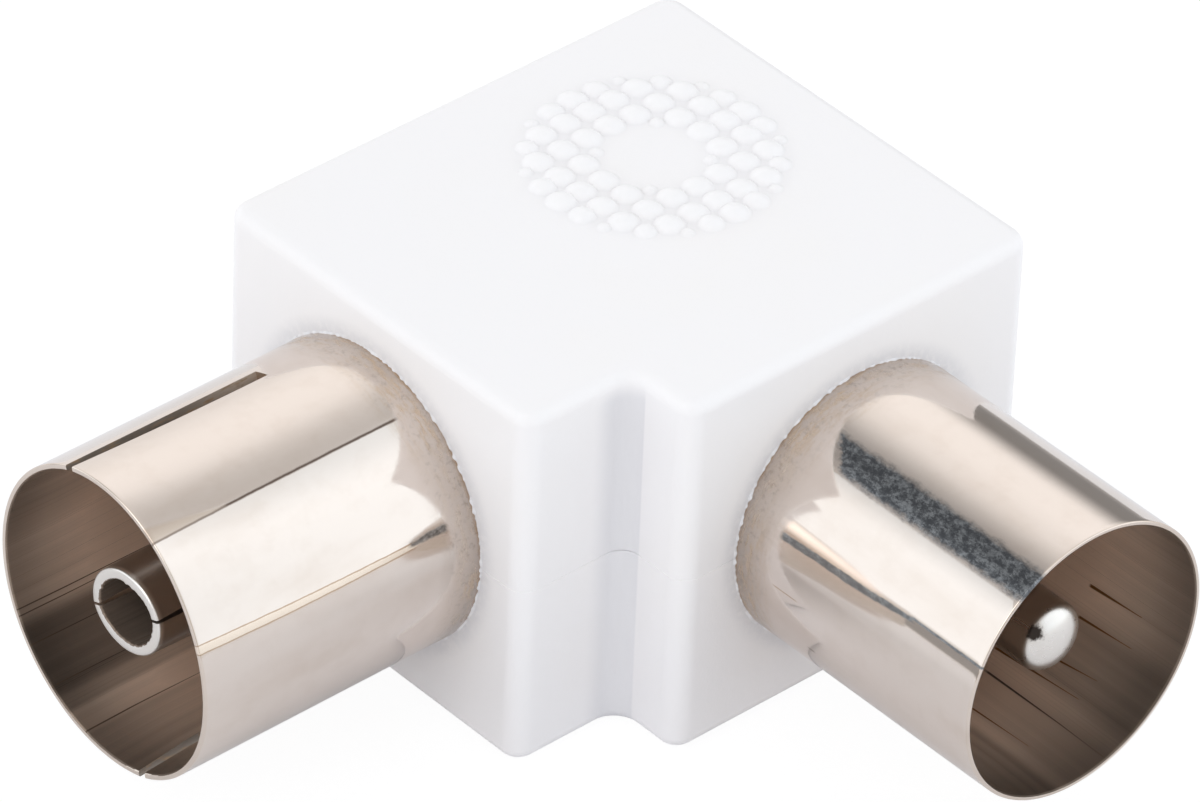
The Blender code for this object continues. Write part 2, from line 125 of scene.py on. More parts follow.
class ConnectorSizes(bpy.types.PropertyGroup):
    """Sizes of the two connectors."""

    jack_radius: length("Jack radius", "Outside radius of the jack's sleeve", 5.05 * MM)
    jack_wall: length("Jack wall", "Thickness of the jack's sleeve", 0.3 * MM)
    jack_mouth: length("Jack mouth", "Distance to the jack's mouth", -float(JACK_LOW[1]))
    jack_tail: length("Jack tail", "Distance to the sleeve's inner end", -float(JACK_HIGH[1]))
    tilt: turn("Slot tilt", "How far the slots stand off the vertical", radians(20))
    slot_width: length("Slot width", "Width of the sleeve's slots", 0.6 * MM)
    slot_length: length("Slot length", "Length of the sleeve's slots", 7.4 * MM)
    plug_radius: length("Plug radius", "Outside radius of the plug's sleeve", 4.75 * MM)
    plug_wall: length("Plug wall", "Thickness of the plug's sleeve", 0.25 * MM)
    plug_mouth: length("Plug mouth", "Distance to the plug's mouth", float(PLUG_HIGH[0]))
    plug_tail: length("Plug tail", "Distance to the sleeve's inner end", float(PLUG_LOW[0]))
    lip: length("Lip", "Rounding of the sleeves' rims", 0.07 * MM)
    contact_radius: length("Contact radius", "Outside radius of the contact", 1.525 * MM)
    contact_wall: length("Contact wall", "Thickness of the contact", 0.33 * MM)
    contact_tip: length("Contact tip", "Distance to the contact's tip", -float(CONTACT_LOW[1]))
    contact_bore: length("Contact bore", "Depth of the contact's bore", 8.5 * MM)
    contact_slot: length("Contact slot", "Width of the contact's slots", 0.3 * MM)
    contact_cut: length("Contact cut", "Length of the contact's slots", 6.5 * MM)
    pin_radius: length("Pin radius", "Radius of the pin", 1.15 * MM)
    pin_tip: length("Pin tip", "Distance to the pin's tip", float(PIN_HIGH[0]))
    pin_dome: length("Pin dome", "How far the pin's end bulges", 0.62 * MM)


class Finishes(bpy.types.PropertyGroup):
    """Colours of the pieces."""

    plastic: colour("Plastic", "White moulded plastic", (0.914, 0.890, 0.893))
    nickel: colour("Nickel", "Plate on the sleeves", (0.745, 0.66, 0.60))
    bore: colour("Bore", "Plate inside the sleeves", (0.95, 0.73, 0.58))
    edge: colour("Cut edge", "Sheared edges of the slots", (0.45, 0.38, 0.32))
    bright: colour("Bright nickel", "Plate on the contact and the pin", (0.78, 0.74, 0.70))
    tarnish: colour("Tarnish", "Stains and thin lines on the plate", (0.40, 0.27, 0.17))
    insulator: colour("Insulator", "Plastic of the insulators", (0.22, 0.19, 0.17))
    sheet: colour("Sheet", "Tinned sheet of the screen", (0.66, 0.67, 0.68))
    wire: colour("Wire", "Tinned wire", (0.78, 0.76, 0.72))


class StudioSettings(bpy.types.PropertyGroup):
    """Camera and light."""

    azimuth: turn("Azimuth", "Camera's bearing, from -Y towards +X", radians(47.202))
    elevation: turn("Elevation", "Camera's height angle", radians(37.446))
    roll: turn("Roll", "Camera's roll", radians(2.339))
    distance: length("Distance", "From the camera to its target", 310.346 * MM)
    lens: level("Lens", "Focal length in millimetres on a 36 mm sensor", 304.617)
    sky: level("Sky", "Strength of the even light all round", 1.1)
    overhead: level("Overhead", "Share of that light left straight overhead", 0.62)
    softbox: level("Softbox", "Brightness that a softbox adds", 0.48)
    cool: colour("Cool light", "Colour of the softboxes", (0.8, 0.98, 1.12))


# Mesh helpers


def object_of(name, work):
    """The bmesh as an object in the scene."""
    mesh = bpy.data.meshes.new(name)
    work.to_mesh(mesh)
    work.free()
    obj = bpy.data.objects.new(name, mesh)
    bpy.context.scene.collection.objects.link(obj)
    return obj


def shade(obj, angle):
    """Smooth shading with the sharp edges kept, and flat faces that look flat."""
    obj.data.shade_smooth()
    obj.data.set_sharp_from_angle(angle=radians(angle))
    weighted = obj.modifiers.new("even_normals", "WEIGHTED_NORMAL")
    weighted.keep_sharp = True


def cut(obj, *cutters):
    """Takes the cutters out of the object for good."""
    for cutter in cutters:
        step = obj.modifiers.new(cutter.name, "BOOLEAN")
        step.object = cutter
        step.operation = "DIFFERENCE"
        step.solver = "EXACT"
    bpy.context.view_layer.update()
    graph = bpy.context.evaluated_depsgraph_get()
    mesh = bpy.data.meshes.new_from_object(obj.evaluated_get(graph))
    obj.modifiers.clear()
    old = obj.data
    obj.data = mesh
    bpy.data.meshes.remove(old)
    for cutter in cutters:
        bpy.data.objects.remove(cutter, do_unlink=True)


def lathe(name, profile, steps, closed=False):
    """A turned mesh about Z. Profile points are (radius, height), outer side first."""
    work = bmesh.new()
    rings = []
    for radius, height in profile:
        if radius == 0:
            rings.append([work.verts.new((0, 0, height))])
            continue
        turns = [2 * pi * k / steps for k in range(steps)]
        rings.append([work.verts.new((radius * cos(a), radius * sin(a), height)) for a in turns])
    pairs = list(zip(rings, rings[1:]))
    if closed:
        pairs.append((rings[-1], rings[0]))
    for one, two in pairs:
        for k in range(steps):
            n = (k + 1) % steps
            corners = []
            for ring, place in ((one, k), (one, n), (two, n), (two, k)):
                corner = ring[place % len(ring)]
                if corner not in corners:
                    corners.append(corner)
            work.faces.new(corners)
    bmesh.ops.recalc_face_normals(work, faces=work.faces)
    return object_of(name, work)


def box_cutter(name, size, centre):
    """A box that cuts a slot."""
    work = bmesh.new()
    bmesh.ops.create_cube(work, size=1.0, matrix=Matrix.Diagonal((*size, 1.0)))
    obj = object_of(name, work)
    obj.matrix_world = Matrix.Translation(centre)
    return obj


def arc(centre, radius, start, end, steps):
    """Points of an arc in the profile's plane, as (radius, height)."""
    return [
        (
            centre[0] + radius * cos(start + (end - start) * k / steps),
            centre[1] + radius * sin(start + (end - start) * k / steps),
        )
        for k in range(steps + 1)
    ]


def jack_place():
    """The jack's own frame: Z out of its mouth and Y up."""
    turn_to = Euler((pi / 2, 0, 0)).to_matrix().to_4x4()
    return Matrix.Translation((0, 0, AXIS_HEIGHT)) @ turn_to


def tilt_slots(obj):
    """Turns a jack piece, made with its slots upright, to the angle it stands at."""
    obj.data.transform(Matrix.Rotation(bpy.context.scene.adapter_connectors.tilt, 4, "Z"))


def plug_place():
    """The plug's own frame: Z out of its mouth."""
    turn_to = Euler((0, pi / 2, 0)).to_matrix().to_4x4()
    return Matrix.Translation((0, 0, AXIS_HEIGHT)) @ turn_to


# Materials


class Wiring:
    """Nodes of a material or of the room, made and joined by name."""

    def __init__(self, owner, coordinates="Object"):
        owner.use_nodes = True
        self.material = owner
        self.tree = owner.node_tree
        self.shader = self.tree.nodes.get("Principled BSDF")
        self.coordinates = self.tree.nodes.new("ShaderNodeTexCoord").outputs[coordinates]

    def join(self, value, socket):
        if isinstance(value, bpy.types.NodeSocket):
            self.tree.links.new(value, socket)
        elif value is not None:
            socket.default_value = value

    def set(self, **values):
        for name, value in values.items():
            self.join(value, self.shader.inputs[name.replace("_", " ")])

    def math(self, operation, *values):
        made = self.tree.nodes.new("ShaderNodeMath")
        made.operation = operation
        for value, socket in zip(values, made.inputs):
            self.join(value, socket)
        return made.outputs[0]

    def times(self, one, other):
        return self.math("MULTIPLY", one, other)

    def split(self):
        made = self.tree.nodes.new("ShaderNodeSeparateXYZ")
        self.join(self.coordinates, made.inputs[0])
        return made.outputs

    def towards(self, direction):
        """How nearly the coordinates point in a direction, 1 for exactly."""
        made = self.tree.nodes.new("ShaderNodeVectorMath")
        made.operation = "DOT_PRODUCT"
        self.join(self.coordinates, made.inputs[0])
        made.inputs[1].default_value = direction
        return made.outputs["Value"]

    def toned(self, under, share, tone):
        """The value, brought towards a tone by a share."""
        return self.math("MULTIPLY_ADD", share, self.math("SUBTRACT", tone, under), under)

    def window(self, value, low, high, soft):
        """1 where the value lies from low to high, with soft ends."""
        rise = self.between(value, low - soft, low + soft)
        return self.times(rise, self.between(value, high - soft, high + soft, 1.0, 0.0))

    def stretched(self, scale):
        made = self.tree.nodes.new("ShaderNodeMapping")
        self.join(self.coordinates, made.inputs["Vector"])
        made.inputs["Scale"].default_value = scale
        return made.outputs[0]

    def noise(self, vector, scale, detail=3.0, roughness=0.55):
        made = self.tree.nodes.new("ShaderNodeTexNoise")
        self.join(vector or self.coordinates, made.inputs["Vector"])
        made.inputs["Scale"].default_value = scale
        made.inputs["Detail"].default_value = detail
        made.inputs["Roughness"].default_value = roughness
        return made.outputs["Fac"]

    def between(self, value, low, high, to_low=0.0, to_high=1.0):
        """The value carried from one range to another, smoothly and without overshoot."""
        made = self.tree.nodes.new("ShaderNodeMapRange")
        made.interpolation_type = "SMOOTHSTEP"
        self.join(value, made.inputs["Value"])
        self.join(low, made.inputs["From Min"])
        self.join(high, made.inputs["From Max"])
        self.join(to_low, made.inputs["To Min"])
        self.join(to_high, made.inputs["To Max"])
        return made.outputs[0]

    def mix(self, share, one, two):
        made = self.tree.nodes.new("ShaderNodeMix")
        made.data_type = "RGBA"
        self.join(share, made.inputs["Factor"])
        for value, name in ((one, "A"), (two, "B")):
            socket = [s for s in made.inputs if s.name == name and s.type == "RGBA"][0]
            self.join((*value, 1.0) if isinstance(value, tuple) else value, socket)
        return [s for s in made.outputs if s.type == "RGBA"][0]

    def bump(self, height, distance, over=None):
        made = self.tree.nodes.new("ShaderNodeBump")
        made.inputs["Strength"].default_value = 0.5
        made.inputs["Distance"].default_value = distance
        self.join(height, made.inputs["Height"])
        if over is not None:
            self.join(over, made.inputs["Normal"])
        return made.outputs[0]


def finishes():
    """The colours that the user can change."""
    return bpy.context.scene.adapter_finishes


def ramp(paint, value, low, high):
    """0 to 1 as the value goes from low to high, in millimetres; high may be the lower."""
    if low < high:
        return paint.between(value, low * MM, high * MM)
    return paint.between(value, high * MM, low * MM, 1.0, 0.0)


def squared(paint, value):
    """The value times itself."""
    return paint.times(value, value)


# Painted shade on the white plastic, in the inside corner, low in the elbow, round the sleeves and
# among the domes; and a whiter white, a painted highlight on the domes' tops
SHADED = (0.745, 0.735, 0.76)
DOME_HIGHLIGHT = (0.928, 0.907, 0.908)


def moulded_white():
    """Satin white plastic with the fine spark-eroded skin of its mould."""
    paint = Wiring(bpy.data.materials.new("moulded_white"))
    white = tuple(finishes().plastic)
    warm = (white[0], white[1] * 0.99, white[2] * 0.97)
    patches = paint.noise(None, 180.0, 2.0)
    skin = paint.noise(None, 11000.0, 2.0, 0.6)
    pits = paint.noise(None, 3800.0, 3.0, 0.6)
    relief = paint.bump(skin, 0.006 * MM)
    relief = paint.bump(pits, 0.012 * MM, relief)
    x, y, z = paint.split()
    cast = paint.mix(paint.between(patches, 0.45, 0.75, 0.0, 0.5), white, warm)
    # Painted shade in the notch's inside corner, fading out near the top
    inside_corner = paint.times(
        paint.times(ramp(paint, y, -8.4, -7.45), ramp(paint, y, -6.8, -6.88)),
        paint.times(ramp(paint, x, 6.8, 6.89), ramp(paint, x, 7.6, 7.5)),
    )
    inside_corner = paint.times(inside_corner, ramp(paint, z, 12.95, 12.3))
    cast = paint.mix(paint.times(inside_corner, 0.75), cast, SHADED)
    # Painted shade on the faces in the elbow, darker towards the bottom
    elbow = paint.times(ramp(paint, x, 4.5, 6.5), ramp(paint, y, -3.0, -5.5))
    low = paint.times(elbow, ramp(paint, z, 10.0, 1.0))
    cast = paint.mix(paint.times(low, 0.26), cast, SHADED)
    # Painted shade on the notch's face that looks along -Y
    step = paint.times(ramp(paint, x, 6.9, 7.4), ramp(paint, y, -6.7, -6.95))
    cast = paint.mix(paint.times(step, 0.14), cast, SHADED)
    grip = bpy.context.scene.adapter_grip
    across = paint.math("ADD", x, grip.offset)
    along = paint.math("SUBTRACT", y, grip.offset)
    reach = paint.math("SQRT", paint.math("ADD", squared(paint, across), squared(paint, along)))
    # Painted shade in the low ground among the domes
    ring = paint.window(reach, grip.hole + 0.1 * MM, grip.outer - 0.1 * MM, 0.35 * MM)
    above = paint.math("SUBTRACT", z, LEVEL)
    on_top = ramp(paint, above, -0.02, 0.0)
    valley = paint.times(ring, on_top)
    valley = paint.times(valley, ramp(paint, above, 0.1, 0.0))
    cast = paint.mix(paint.times(valley, 0.16), cast, SHADED)
    # Painted highlight: the domes' tops whiter than the flat top
    cast = paint.mix(ramp(paint, above, 0.04, 0.2), cast, DOME_HIGHLIGHT)
    # Painted shadow on the end faces round the sleeves, broken up by the mould's pits
    for side, face, radius in ((x, y, 5.05), (y, x, 4.75)):
        outward = paint.times(face, -1.0) if side is x else face
        out = 11.0 if side is x else 9.5
        up = paint.math("SUBTRACT", z, AXIS_HEIGHT)
        reach = paint.math("SQRT", paint.math("ADD", squared(paint, side), squared(paint, up)))
        near = ramp(paint, reach, radius + 0.75, radius)
        near = paint.times(near, ramp(paint, outward, out - 0.1, out - 0.02))
        near = paint.times(near, paint.between(pits, 0.3, 0.6, 0.5, 0.85))
        cast = paint.mix(near, cast, SHADED)
    paint.set(
        Base_Color=cast,
        Roughness=paint.between(skin, 0.3, 0.7, 0.36, 0.5),
        Normal=relief,
    )
    return paint.material


def round_angle(plate, name):
    """Degrees round the jack or the plug from its top towards the photo's side."""
    x, y, _ = plate.split()
    up, side = y, x
    if name.startswith("plug"):
        up, side = plate.times(x, -1.0), plate.times(y, -1.0)
    return plate.times(plate.math("ARCTAN2", side, up), 180 / pi)


def lines_round(plate, angle, count):
    """Fine straight lines along a sleeve: noise that changes only with the angle round it."""
    made = plate.tree.nodes.new("ShaderNodeCombineXYZ")
    plate.join(plate.times(angle, count), made.inputs[0])
    return plate.noise(made.outputs[0], 1.0, 3.0)


def mark_share(plate, angle, distance, shape):
    """How strongly a mark shows at each place of a sleeve."""
    first, last, start, end, soft, ragged, lean_first, lean_last, slant = shape
    edge = plate.math("SUBTRACT", plate.noise(plate.stretched((1, 1, 0.5)), 4200.0, 3.0, 0.7), 0.5)
    on = plate.math("SUBTRACT", distance, start * MM)
    ragged_angle = plate.math("MULTIPLY_ADD", edge, 2 * ragged, angle)
    low = plate.math("MULTIPLY_ADD", on, -lean_first / MM, ragged_angle)
    high = plate.math("MULTIPLY_ADD", on, -lean_last / MM, ragged_angle)
    inside = plate.times(
        plate.between(low, first - soft, first + soft),
        plate.between(high, last - soft, last + soft, 1.0, 0.0),
    )
    shift = plate.math("MULTIPLY_ADD", plate.math("SUBTRACT", angle, first), -slant * MM, distance)
    shift = plate.math("MULTIPLY_ADD", edge, 0.3 * MM * ragged, shift)
    fade = min(0.12, (end - start) / 4)
    return plate.times(inside, plate.window(shift, start * MM, end * MM, fade * MM))


def shaded_behind(plate, cast, distance, tip):
    """The plate's colour, duller and browner behind a piece's bright tip: painted shade on the side
    behind the tip.
    """
    behind = plate.between(distance, tip - 0.25 * MM, tip - 0.06 * MM, 0.85, 0.0)
    return plate.mix(behind, cast, DULL_SHADE)


def plated(name, metal, smoothness=0.05, marks=(), root=None, rim=None, tip=None, spot=None):
    """Bright nickel plate over drawn brass, with drawing lines along it and dark marks. Most marks
    are painted reflections of the room, with a scratch among them. Near its root and behind a tip
    the plate has painted shade, and a spot on a tip is a painted reflection.

    A mark is (dark colour, pale colour, shape). Its shape holds the first and last angle, the
    first and last distance, the edge's softness and raggedness, the lean of both edges in
    degrees a millimetre and the slant of its start.
    """
    plate = Wiring(bpy.data.materials.new(name))
    stain = tuple(finishes().tarnish)
    x, y, z = plate.split()
    angle = round_angle(plate, name)
    drawn = plate.noise(plate.stretched((1, 1, 0.02)), 6000.0, 2.0)
    peel = plate.noise(None, 1500.0, 2.0)
    worn = plate.noise(plate.stretched((1, 1, 0.3)), 500.0, 4.0)
    cast = plate.mix(plate.between(worn, 0.45, 0.8, 0.0, 0.16), metal, stain)
    cloudy = plate.noise(None, 1100.0, 3.0, 0.6)
    cast = plate.mix(plate.between(cloudy, 0.45, 0.7, 0.0, 0.05), cast, stain)
    rough = plate.between(drawn, 0.3, 0.7, smoothness, smoothness + 0.05)
    if root is not None:
        scored = plate.noise(plate.stretched((0.5, 0.5, 2.0)), 2600.0, 5.0, 0.75)
        blotch = plate.noise(None, 320.0, 2.0)
        # Painted shade near the root, darker on the lower side, mottled by a fine grain
        near = plate.between(z, root + 0.3 * MM, root + 1.8 * MM, 1.0, 0.0)
        turned = plate.between(angle, 20.0, 110.0, 0.26, 0.42)
        cast = plate.mix(plate.times(near, turned), cast, DULL_SHADE)
        grain = plate.noise(None, 4600.0, 3.0, 0.7)
        grain = plate.times(near, plate.between(grain, 0.5, 0.7, 0.0, 0.4))
        cast = plate.mix(grain, cast, DULL_SHADE)
        gilt = plate.times(near, plate.between(scored, 0.43, 0.62, 0.0, 0.9))
        gilt = plate.times(gilt, plate.between(blotch, 0.4, 0.6, 0.3, 1.0))
        cast = plate.mix(gilt, cast, GILT)
        close = plate.between(z, root, root + 0.16 * MM, 0.8, 0.0)
        close = plate.times(close, plate.between(scored, 0.35, 0.6, 0.3, 1.0))
        cast = plate.mix(close, cast, stain)
        rougher = plate.between(scored, 0.4, 0.65, 0.05, 0.25)
        rough = plate.math("MULTIPLY_ADD", near, rougher, rough)
        cast = plate.mix(plate.between(z, rim - 0.1 * MM, rim - 0.03 * MM, 0.0, 0.22), cast, GILT)
    if marks:
        clouds = plate.noise(plate.stretched((1, 1, 0.7)), 5200.0, 5.0, 0.85)
        clouds = plate.between(clouds, 0.42, 0.64)
        for dark, pale, shape in marks:
            share = mark_share(plate, angle, z, shape)
            cast = plate.mix(share, cast, plate.mix(clouds, dark, pale))
            rough = plate.toned(rough, share, 0.24)
    # Painted shade behind the tip
    if tip is not None:
        cast = shaded_behind(plate, cast, z, tip)
    # A painted reflection: a dark ragged spot on the tip's end
    if spot is not None:
        across = plate.math("SUBTRACT", x, spot[0] * MM)
        along = plate.math("SUBTRACT", y, spot[1] * MM)
        off = plate.math("SQRT", plate.math("ADD", squared(plate, across), squared(plate, along)))
        ragged = plate.noise(None, 4500.0, 3.0, 0.6)
        off = plate.math("MULTIPLY_ADD", plate.math("SUBTRACT", ragged, 0.5), 0.5 * MM, off)
        reflected = ramp(plate, off, spot[2] + 0.1, spot[2] - 0.08)
        on_end = plate.between(z, tip - 0.3 * MM, tip - 0.2 * MM)
        cast = plate.mix(plate.times(reflected, on_end), cast, SPOT_REFLECTION)
    relief = plate.bump(drawn, 0.0003 * MM)
    relief = plate.bump(peel, 0.0012 * MM, relief)
    plate.set(Base_Color=cast, Metallic=1.0, Roughness=rough, Normal=relief)
    return plate.material


def drawn_bore(name, metal, zones=(), streaks=(), mouth=None, mouth_tone=1.0, deep_tone=1.0):
    """The inside of a sleeve: brown and duller, with long drawing lines and streaks.

    It gets darker over the last millimetres before the mouth: painted shade. Its zones round it are
    painted light and shade.
    A zone is (first and last angle, softness, brightness). A streak is (colour, first and last
    angle, first and last distance, half its width in degrees).
    """
    plate = Wiring(bpy.data.materials.new(name))
    dark = tuple(c * 0.4 for c in metal)
    z = plate.split()[2]
    # counted on from the top, so that it has no jump at the bottom
    angle = plate.math("WRAP", round_angle(plate, name), 360.0, 0.0)
    fine = lines_round(plate, angle, 1.3)
    wide = lines_round(plate, plate.math("ADD", angle, 37.0), 0.14)
    tone = 1.0
    # Painted light and shade: zones round the bore, lighter or darker
    for first, last, soft, bright in zones:
        tone = plate.toned(tone, plate.window(angle, first, last, soft), bright)
    tone = plate.times(tone, plate.between(wide, 0.3, 0.7, 1.1, 0.88))
    # Painted shade near the mouth, lighter deep inside
    if mouth is not None:
        fade = plate.between(z, mouth - 4.4 * MM, mouth + 0.2 * MM, deep_tone, mouth_tone)
        tone = plate.times(tone, fade)
        tone = plate.math("MINIMUM", tone, 1.04)
    lined = plate.between(fine, 0.5, 0.72, 0.0, 0.34)
    streaked = plate.mix(lined, metal, dark)
    toned = plate.tree.nodes.new("ShaderNodeVectorMath")
    toned.operation = "SCALE"
    plate.join(streaked, toned.inputs[0])
    plate.join(tone, toned.inputs["Scale"])
    cast = toned.outputs[0]
    for tint, first, last, start, end, half in streaks:
        along = plate.math("DIVIDE", plate.math("SUBTRACT", z, start * MM), (end - start) * MM)
        path = plate.math("MULTIPLY_ADD", along, last - first, first)
        off = plate.math("ABSOLUTE", plate.math("SUBTRACT", angle, path))
        width = plate.between(along, 0.0, 1.0, half, half * 0.25)
        line = plate.between(plate.math("DIVIDE", off, width), 0.6, 1.2, 1.0, 0.0)
        line = plate.times(line, plate.window(along, 0.0, 1.0, 0.03))
        cast = plate.mix(line, cast, tint)
    relief = plate.bump(fine, 0.0006 * MM)
    plate.set(
        Base_Color=cast,
        Metallic=0.45,
        Specular_IOR_Level=0.1,
        Specular_Tint=(0.55, 0.45, 0.38, 1.0),
        Roughness=plate.between(fine, 0.3, 0.7, 0.27, 0.35),
        Normal=relief,
    )
    return plate.material


def sheared_edge():
    """The dull grey sheared metal of the slots' edges."""
    edge = Wiring(bpy.data.materials.new("sheared_edge"))
    grey = tuple(finishes().edge)
    brown = tuple(finishes().tarnish)
    torn = edge.noise(edge.stretched((1, 1, 0.2)), 7000.0, 4.0)
    pale = tuple(1.35 * c for c in grey)
    out = edge.between(edge.split()[2], 14.3 * MM, 17.5 * MM)
    grey = edge.mix(out, pale, tuple(0.6 * c for c in grey))
    edge.set(
        Base_Color=edge.mix(edge.between(torn, 0.5, 0.7), grey, brown),
        Metallic=0.5,
        Roughness=edge.between(torn, 0.3, 0.7, 0.35, 0.55),
        Normal=edge.bump(torn, 0.01 * MM),
    )
    return edge.material


def plain_insulator():
    """Dull moulded plastic, out of the light."""
    dull = Wiring(bpy.data.materials.new("insulator_plastic_finish"))
    brown = tuple(finishes().insulator)
    pale = tuple(c * 1.3 for c in brown)
    grain = dull.noise(None, 4000.0, 3.0)
    dull.set(
        Base_Color=dull.mix(grain, brown, pale),
        Roughness=dull.between(grain, 0.3, 0.7, 0.5, 0.65),
        Normal=dull.bump(grain, 0.004 * MM),
    )
    return dull.material


def tinned(name, metal):
    """Tinned sheet or wire with a cloudy skin."""
    tin = Wiring(bpy.data.materials.new(name))
    cloudy = tuple(c * 0.8 for c in metal)
    clouds = tin.noise(None, 1500.0, 4.0)
    tin.set(
        Base_Color=tin.mix(clouds, metal, cloudy),
        Metallic=1.0,
        Roughness=tin.between(clouds, 0.3, 0.7, 0.25, 0.45),
        Normal=tin.bump(clouds, 0.004 * MM),
    )
    return tin.material


# Marks on the plate, most of them painted reflections of the room, with a scratch among them.
# Colours dark and pale, then the shape: angles in degrees, distances in millimetres, softness,
# raggedness, lean and slant
GILT = (0.60, 0.47, 0.35)
# Painted shade near the sleeves' roots and behind bright tips; also the dark colour of one small
# mark
DULL_SHADE = (0.27, 0.22, 0.185)
STEEL = (0.10, 0.105, 0.115)
PALE_STEEL = (0.33, 0.345, 0.36)
BROWN = (0.50, 0.36, 0.25)
LINE = (0.13, 0.09, 0.07)
# A painted reflection: the dark spot on the pin's end
SPOT_REFLECTION = (0.05, 0.04, 0.035)
GOLD = (0.44, 0.30, 0.19)
STRIP = (0.84, 0.72, 0.61)
TAN = (0.66, 0.565, 0.49)
BRONZE = (0.58, 0.48, 0.40)
BLOB_DARK = (0.13, 0.115, 0.105)
ASH = (0.36, 0.33, 0.31)
MIDDLE_STEEL = (0.19, 0.193, 0.20)
# Jack marks, all painted reflections: a dark line with a bronze edge, a light strip with gold edges,
# and a bronze patch and a dark blob by the root
JACK_MARKS = (
    (LINE, LINE, (26.4, 27.3, 12.1, 22.0, 0.4, 0.22, 0, 0, 0)),
    (BRONZE, BRONZE, (26.6, 26.7, 18.6, 22.0, 0.9, 0.2, -2.1, 0, 0)),
    (STRIP, STRIP, (67.8, 69.5, 13.0, 22.0, 0.3, 0.2, 0, 0.2, 0)),
    (GOLD, GOLD, (67.4, 67.8, 13.0, 22.0, 0.25, 0.25, 0, 0, 0)),
    (GOLD, GOLD, (69.4, 69.8, 13.0, 22.0, 0.25, 0.25, 0.2, 0.2, 0)),
    (BRONZE, BRONZE, (69.0, 75.0, 12.2, 13.3, 0.5, 0.6, 0, -3.4, 0)),
    (BLOB_DARK, ASH, (66.2, 69.4, 12.1, 13.5, 0.6, 1.0, 0.8, -0.5, 0)),
)
# Plug marks: the mottled dark band, the tan wedge and the second, narrower band in three pieces are
# painted reflections; then a brown scratch and a small dark mark
PLUG_MARKS = (
    (STEEL, PALE_STEEL, (24.9, 37.5, 10.9, 20.5, 1.7, 2.2, 0, 0, 0.075)),
    (TAN, TAN, (69.0, 78.0, 11.4, 16.5, 0.7, 0.3, -0.9, -1.53, 0)),
    (MIDDLE_STEEL, PALE_STEEL, (67.3, 70.1, 11.1, 14.8, 0.4, 0.8, -0.3, -0.3, 0)),
    (MIDDLE_STEEL, PALE_STEEL, (66.2, 69.0, 14.7, 16.8, 0.4, 0.8, -0.5, -0.95, 0)),
    (MIDDLE_STEEL, PALE_STEEL, (64.9, 65.9, 16.7, 20.5, 0.35, 0.4, 0.1, 0.1, 0)),
    (BROWN, BROWN, (89.4, 89.9, 11.2, 12.2, 0.2, 0.2, 0, 0, 0)),
    (DULL_SHADE, BROWN, (110.6, 111.6, 12.5, 12.8, 0.5, 0.3, 0, 0, 0)),
)
# Zones of the bores, painted light and shade, and streaks along them; the angle runs on from the top
# by the far side
DARK = (0.10, 0.07, 0.05)
RUST = (0.22, 0.10, 0.03)
JACK_ZONES = (
    (241.0, 276.0, 4.0, 1.05),
    (276.0, 310.0, 6.0, 0.85),
    (206.0, 238.0, 4.0, 0.36),
    (200.0, 206.0, 2.0, 0.6),
    (193.5, 200.0, 1.5, 1.05),
    (178.0, 190.0, 2.0, 0.72),
    (130.0, 178.0, 3.0, 0.56),
)
JACK_STREAKS = (
    (DARK, 190.8, 190.2, 21.6, 16.0, 0.35),
    (DARK, 243.2, 242.4, 21.6, 15.0, 0.3),
    (DARK, 240.6, 240.0, 21.6, 15.5, 0.25),
    (DARK, 229.0, 228.4, 21.6, 16.0, 0.25),
    (DARK, 212.0, 211.5, 21.6, 16.0, 0.25),
)
PLUG_ZONES = (
    (240.0, 310.0, 8.0, 1.05),
    (205.0, 238.0, 6.0, 0.68),
    (174.0, 203.0, 6.0, 0.76),
    (120.0, 172.0, 5.0, 0.54),
)
PLUG_STREAKS = (
    (RUST, 248.2, 249.5, 15.7, 17.9, 0.75),
    (RUST, 235.1, 236.6, 15.8, 18.0, 0.55),
    (DARK, 196.4, 196.2, 14.4, 19.6, 0.5),
    (RUST, 206.4, 208.9, 14.0, 17.5, 0.6),
    (RUST, 178.5, 179.6, 15.3, 17.7, 0.45),
    (RUST, 216.8, 218.8, 16.1, 17.6, 0.4),
)


# The moulded shells


def elbow_outline(inset, end_inset, notch, steps):
    """The elbow's plan, anticlockwise, as (place, outward direction) pairs."""
    sizes = bpy.context.scene.adapter_body
    back = sizes.back - inset
    inner = sizes.inner - inset
    jack = sizes.jack_face - end_inset
    plug = sizes.plug_face - end_inset
    convex = max(sizes.corner - inset, 0.05 * MM)
    corners = [
        (-back, -jack),
        (inner, -jack),
        (inner, -inner),
        (plug, -inner),
        (plug, back),
        (-back, back),
    ]
    outline = []
    for i, corner in enumerate(corners):
        here = Vector(corner)
        into = (here - Vector(corners[i - 1])).normalized()
        out = (Vector(corners[(i + 1) % len(corners)]) - here).normalized()
        side = 1 if into.cross(out) > 0 else -1
        radius = convex if side > 0 else notch
        centre = here - into * radius + out * radius
        for k in range(steps + 1):
            spoke = Matrix.Rotation(side * pi / 2 * k / steps, 2) @ -out
            outline.append((centre + spoke * radius, spoke * side))
    return outline


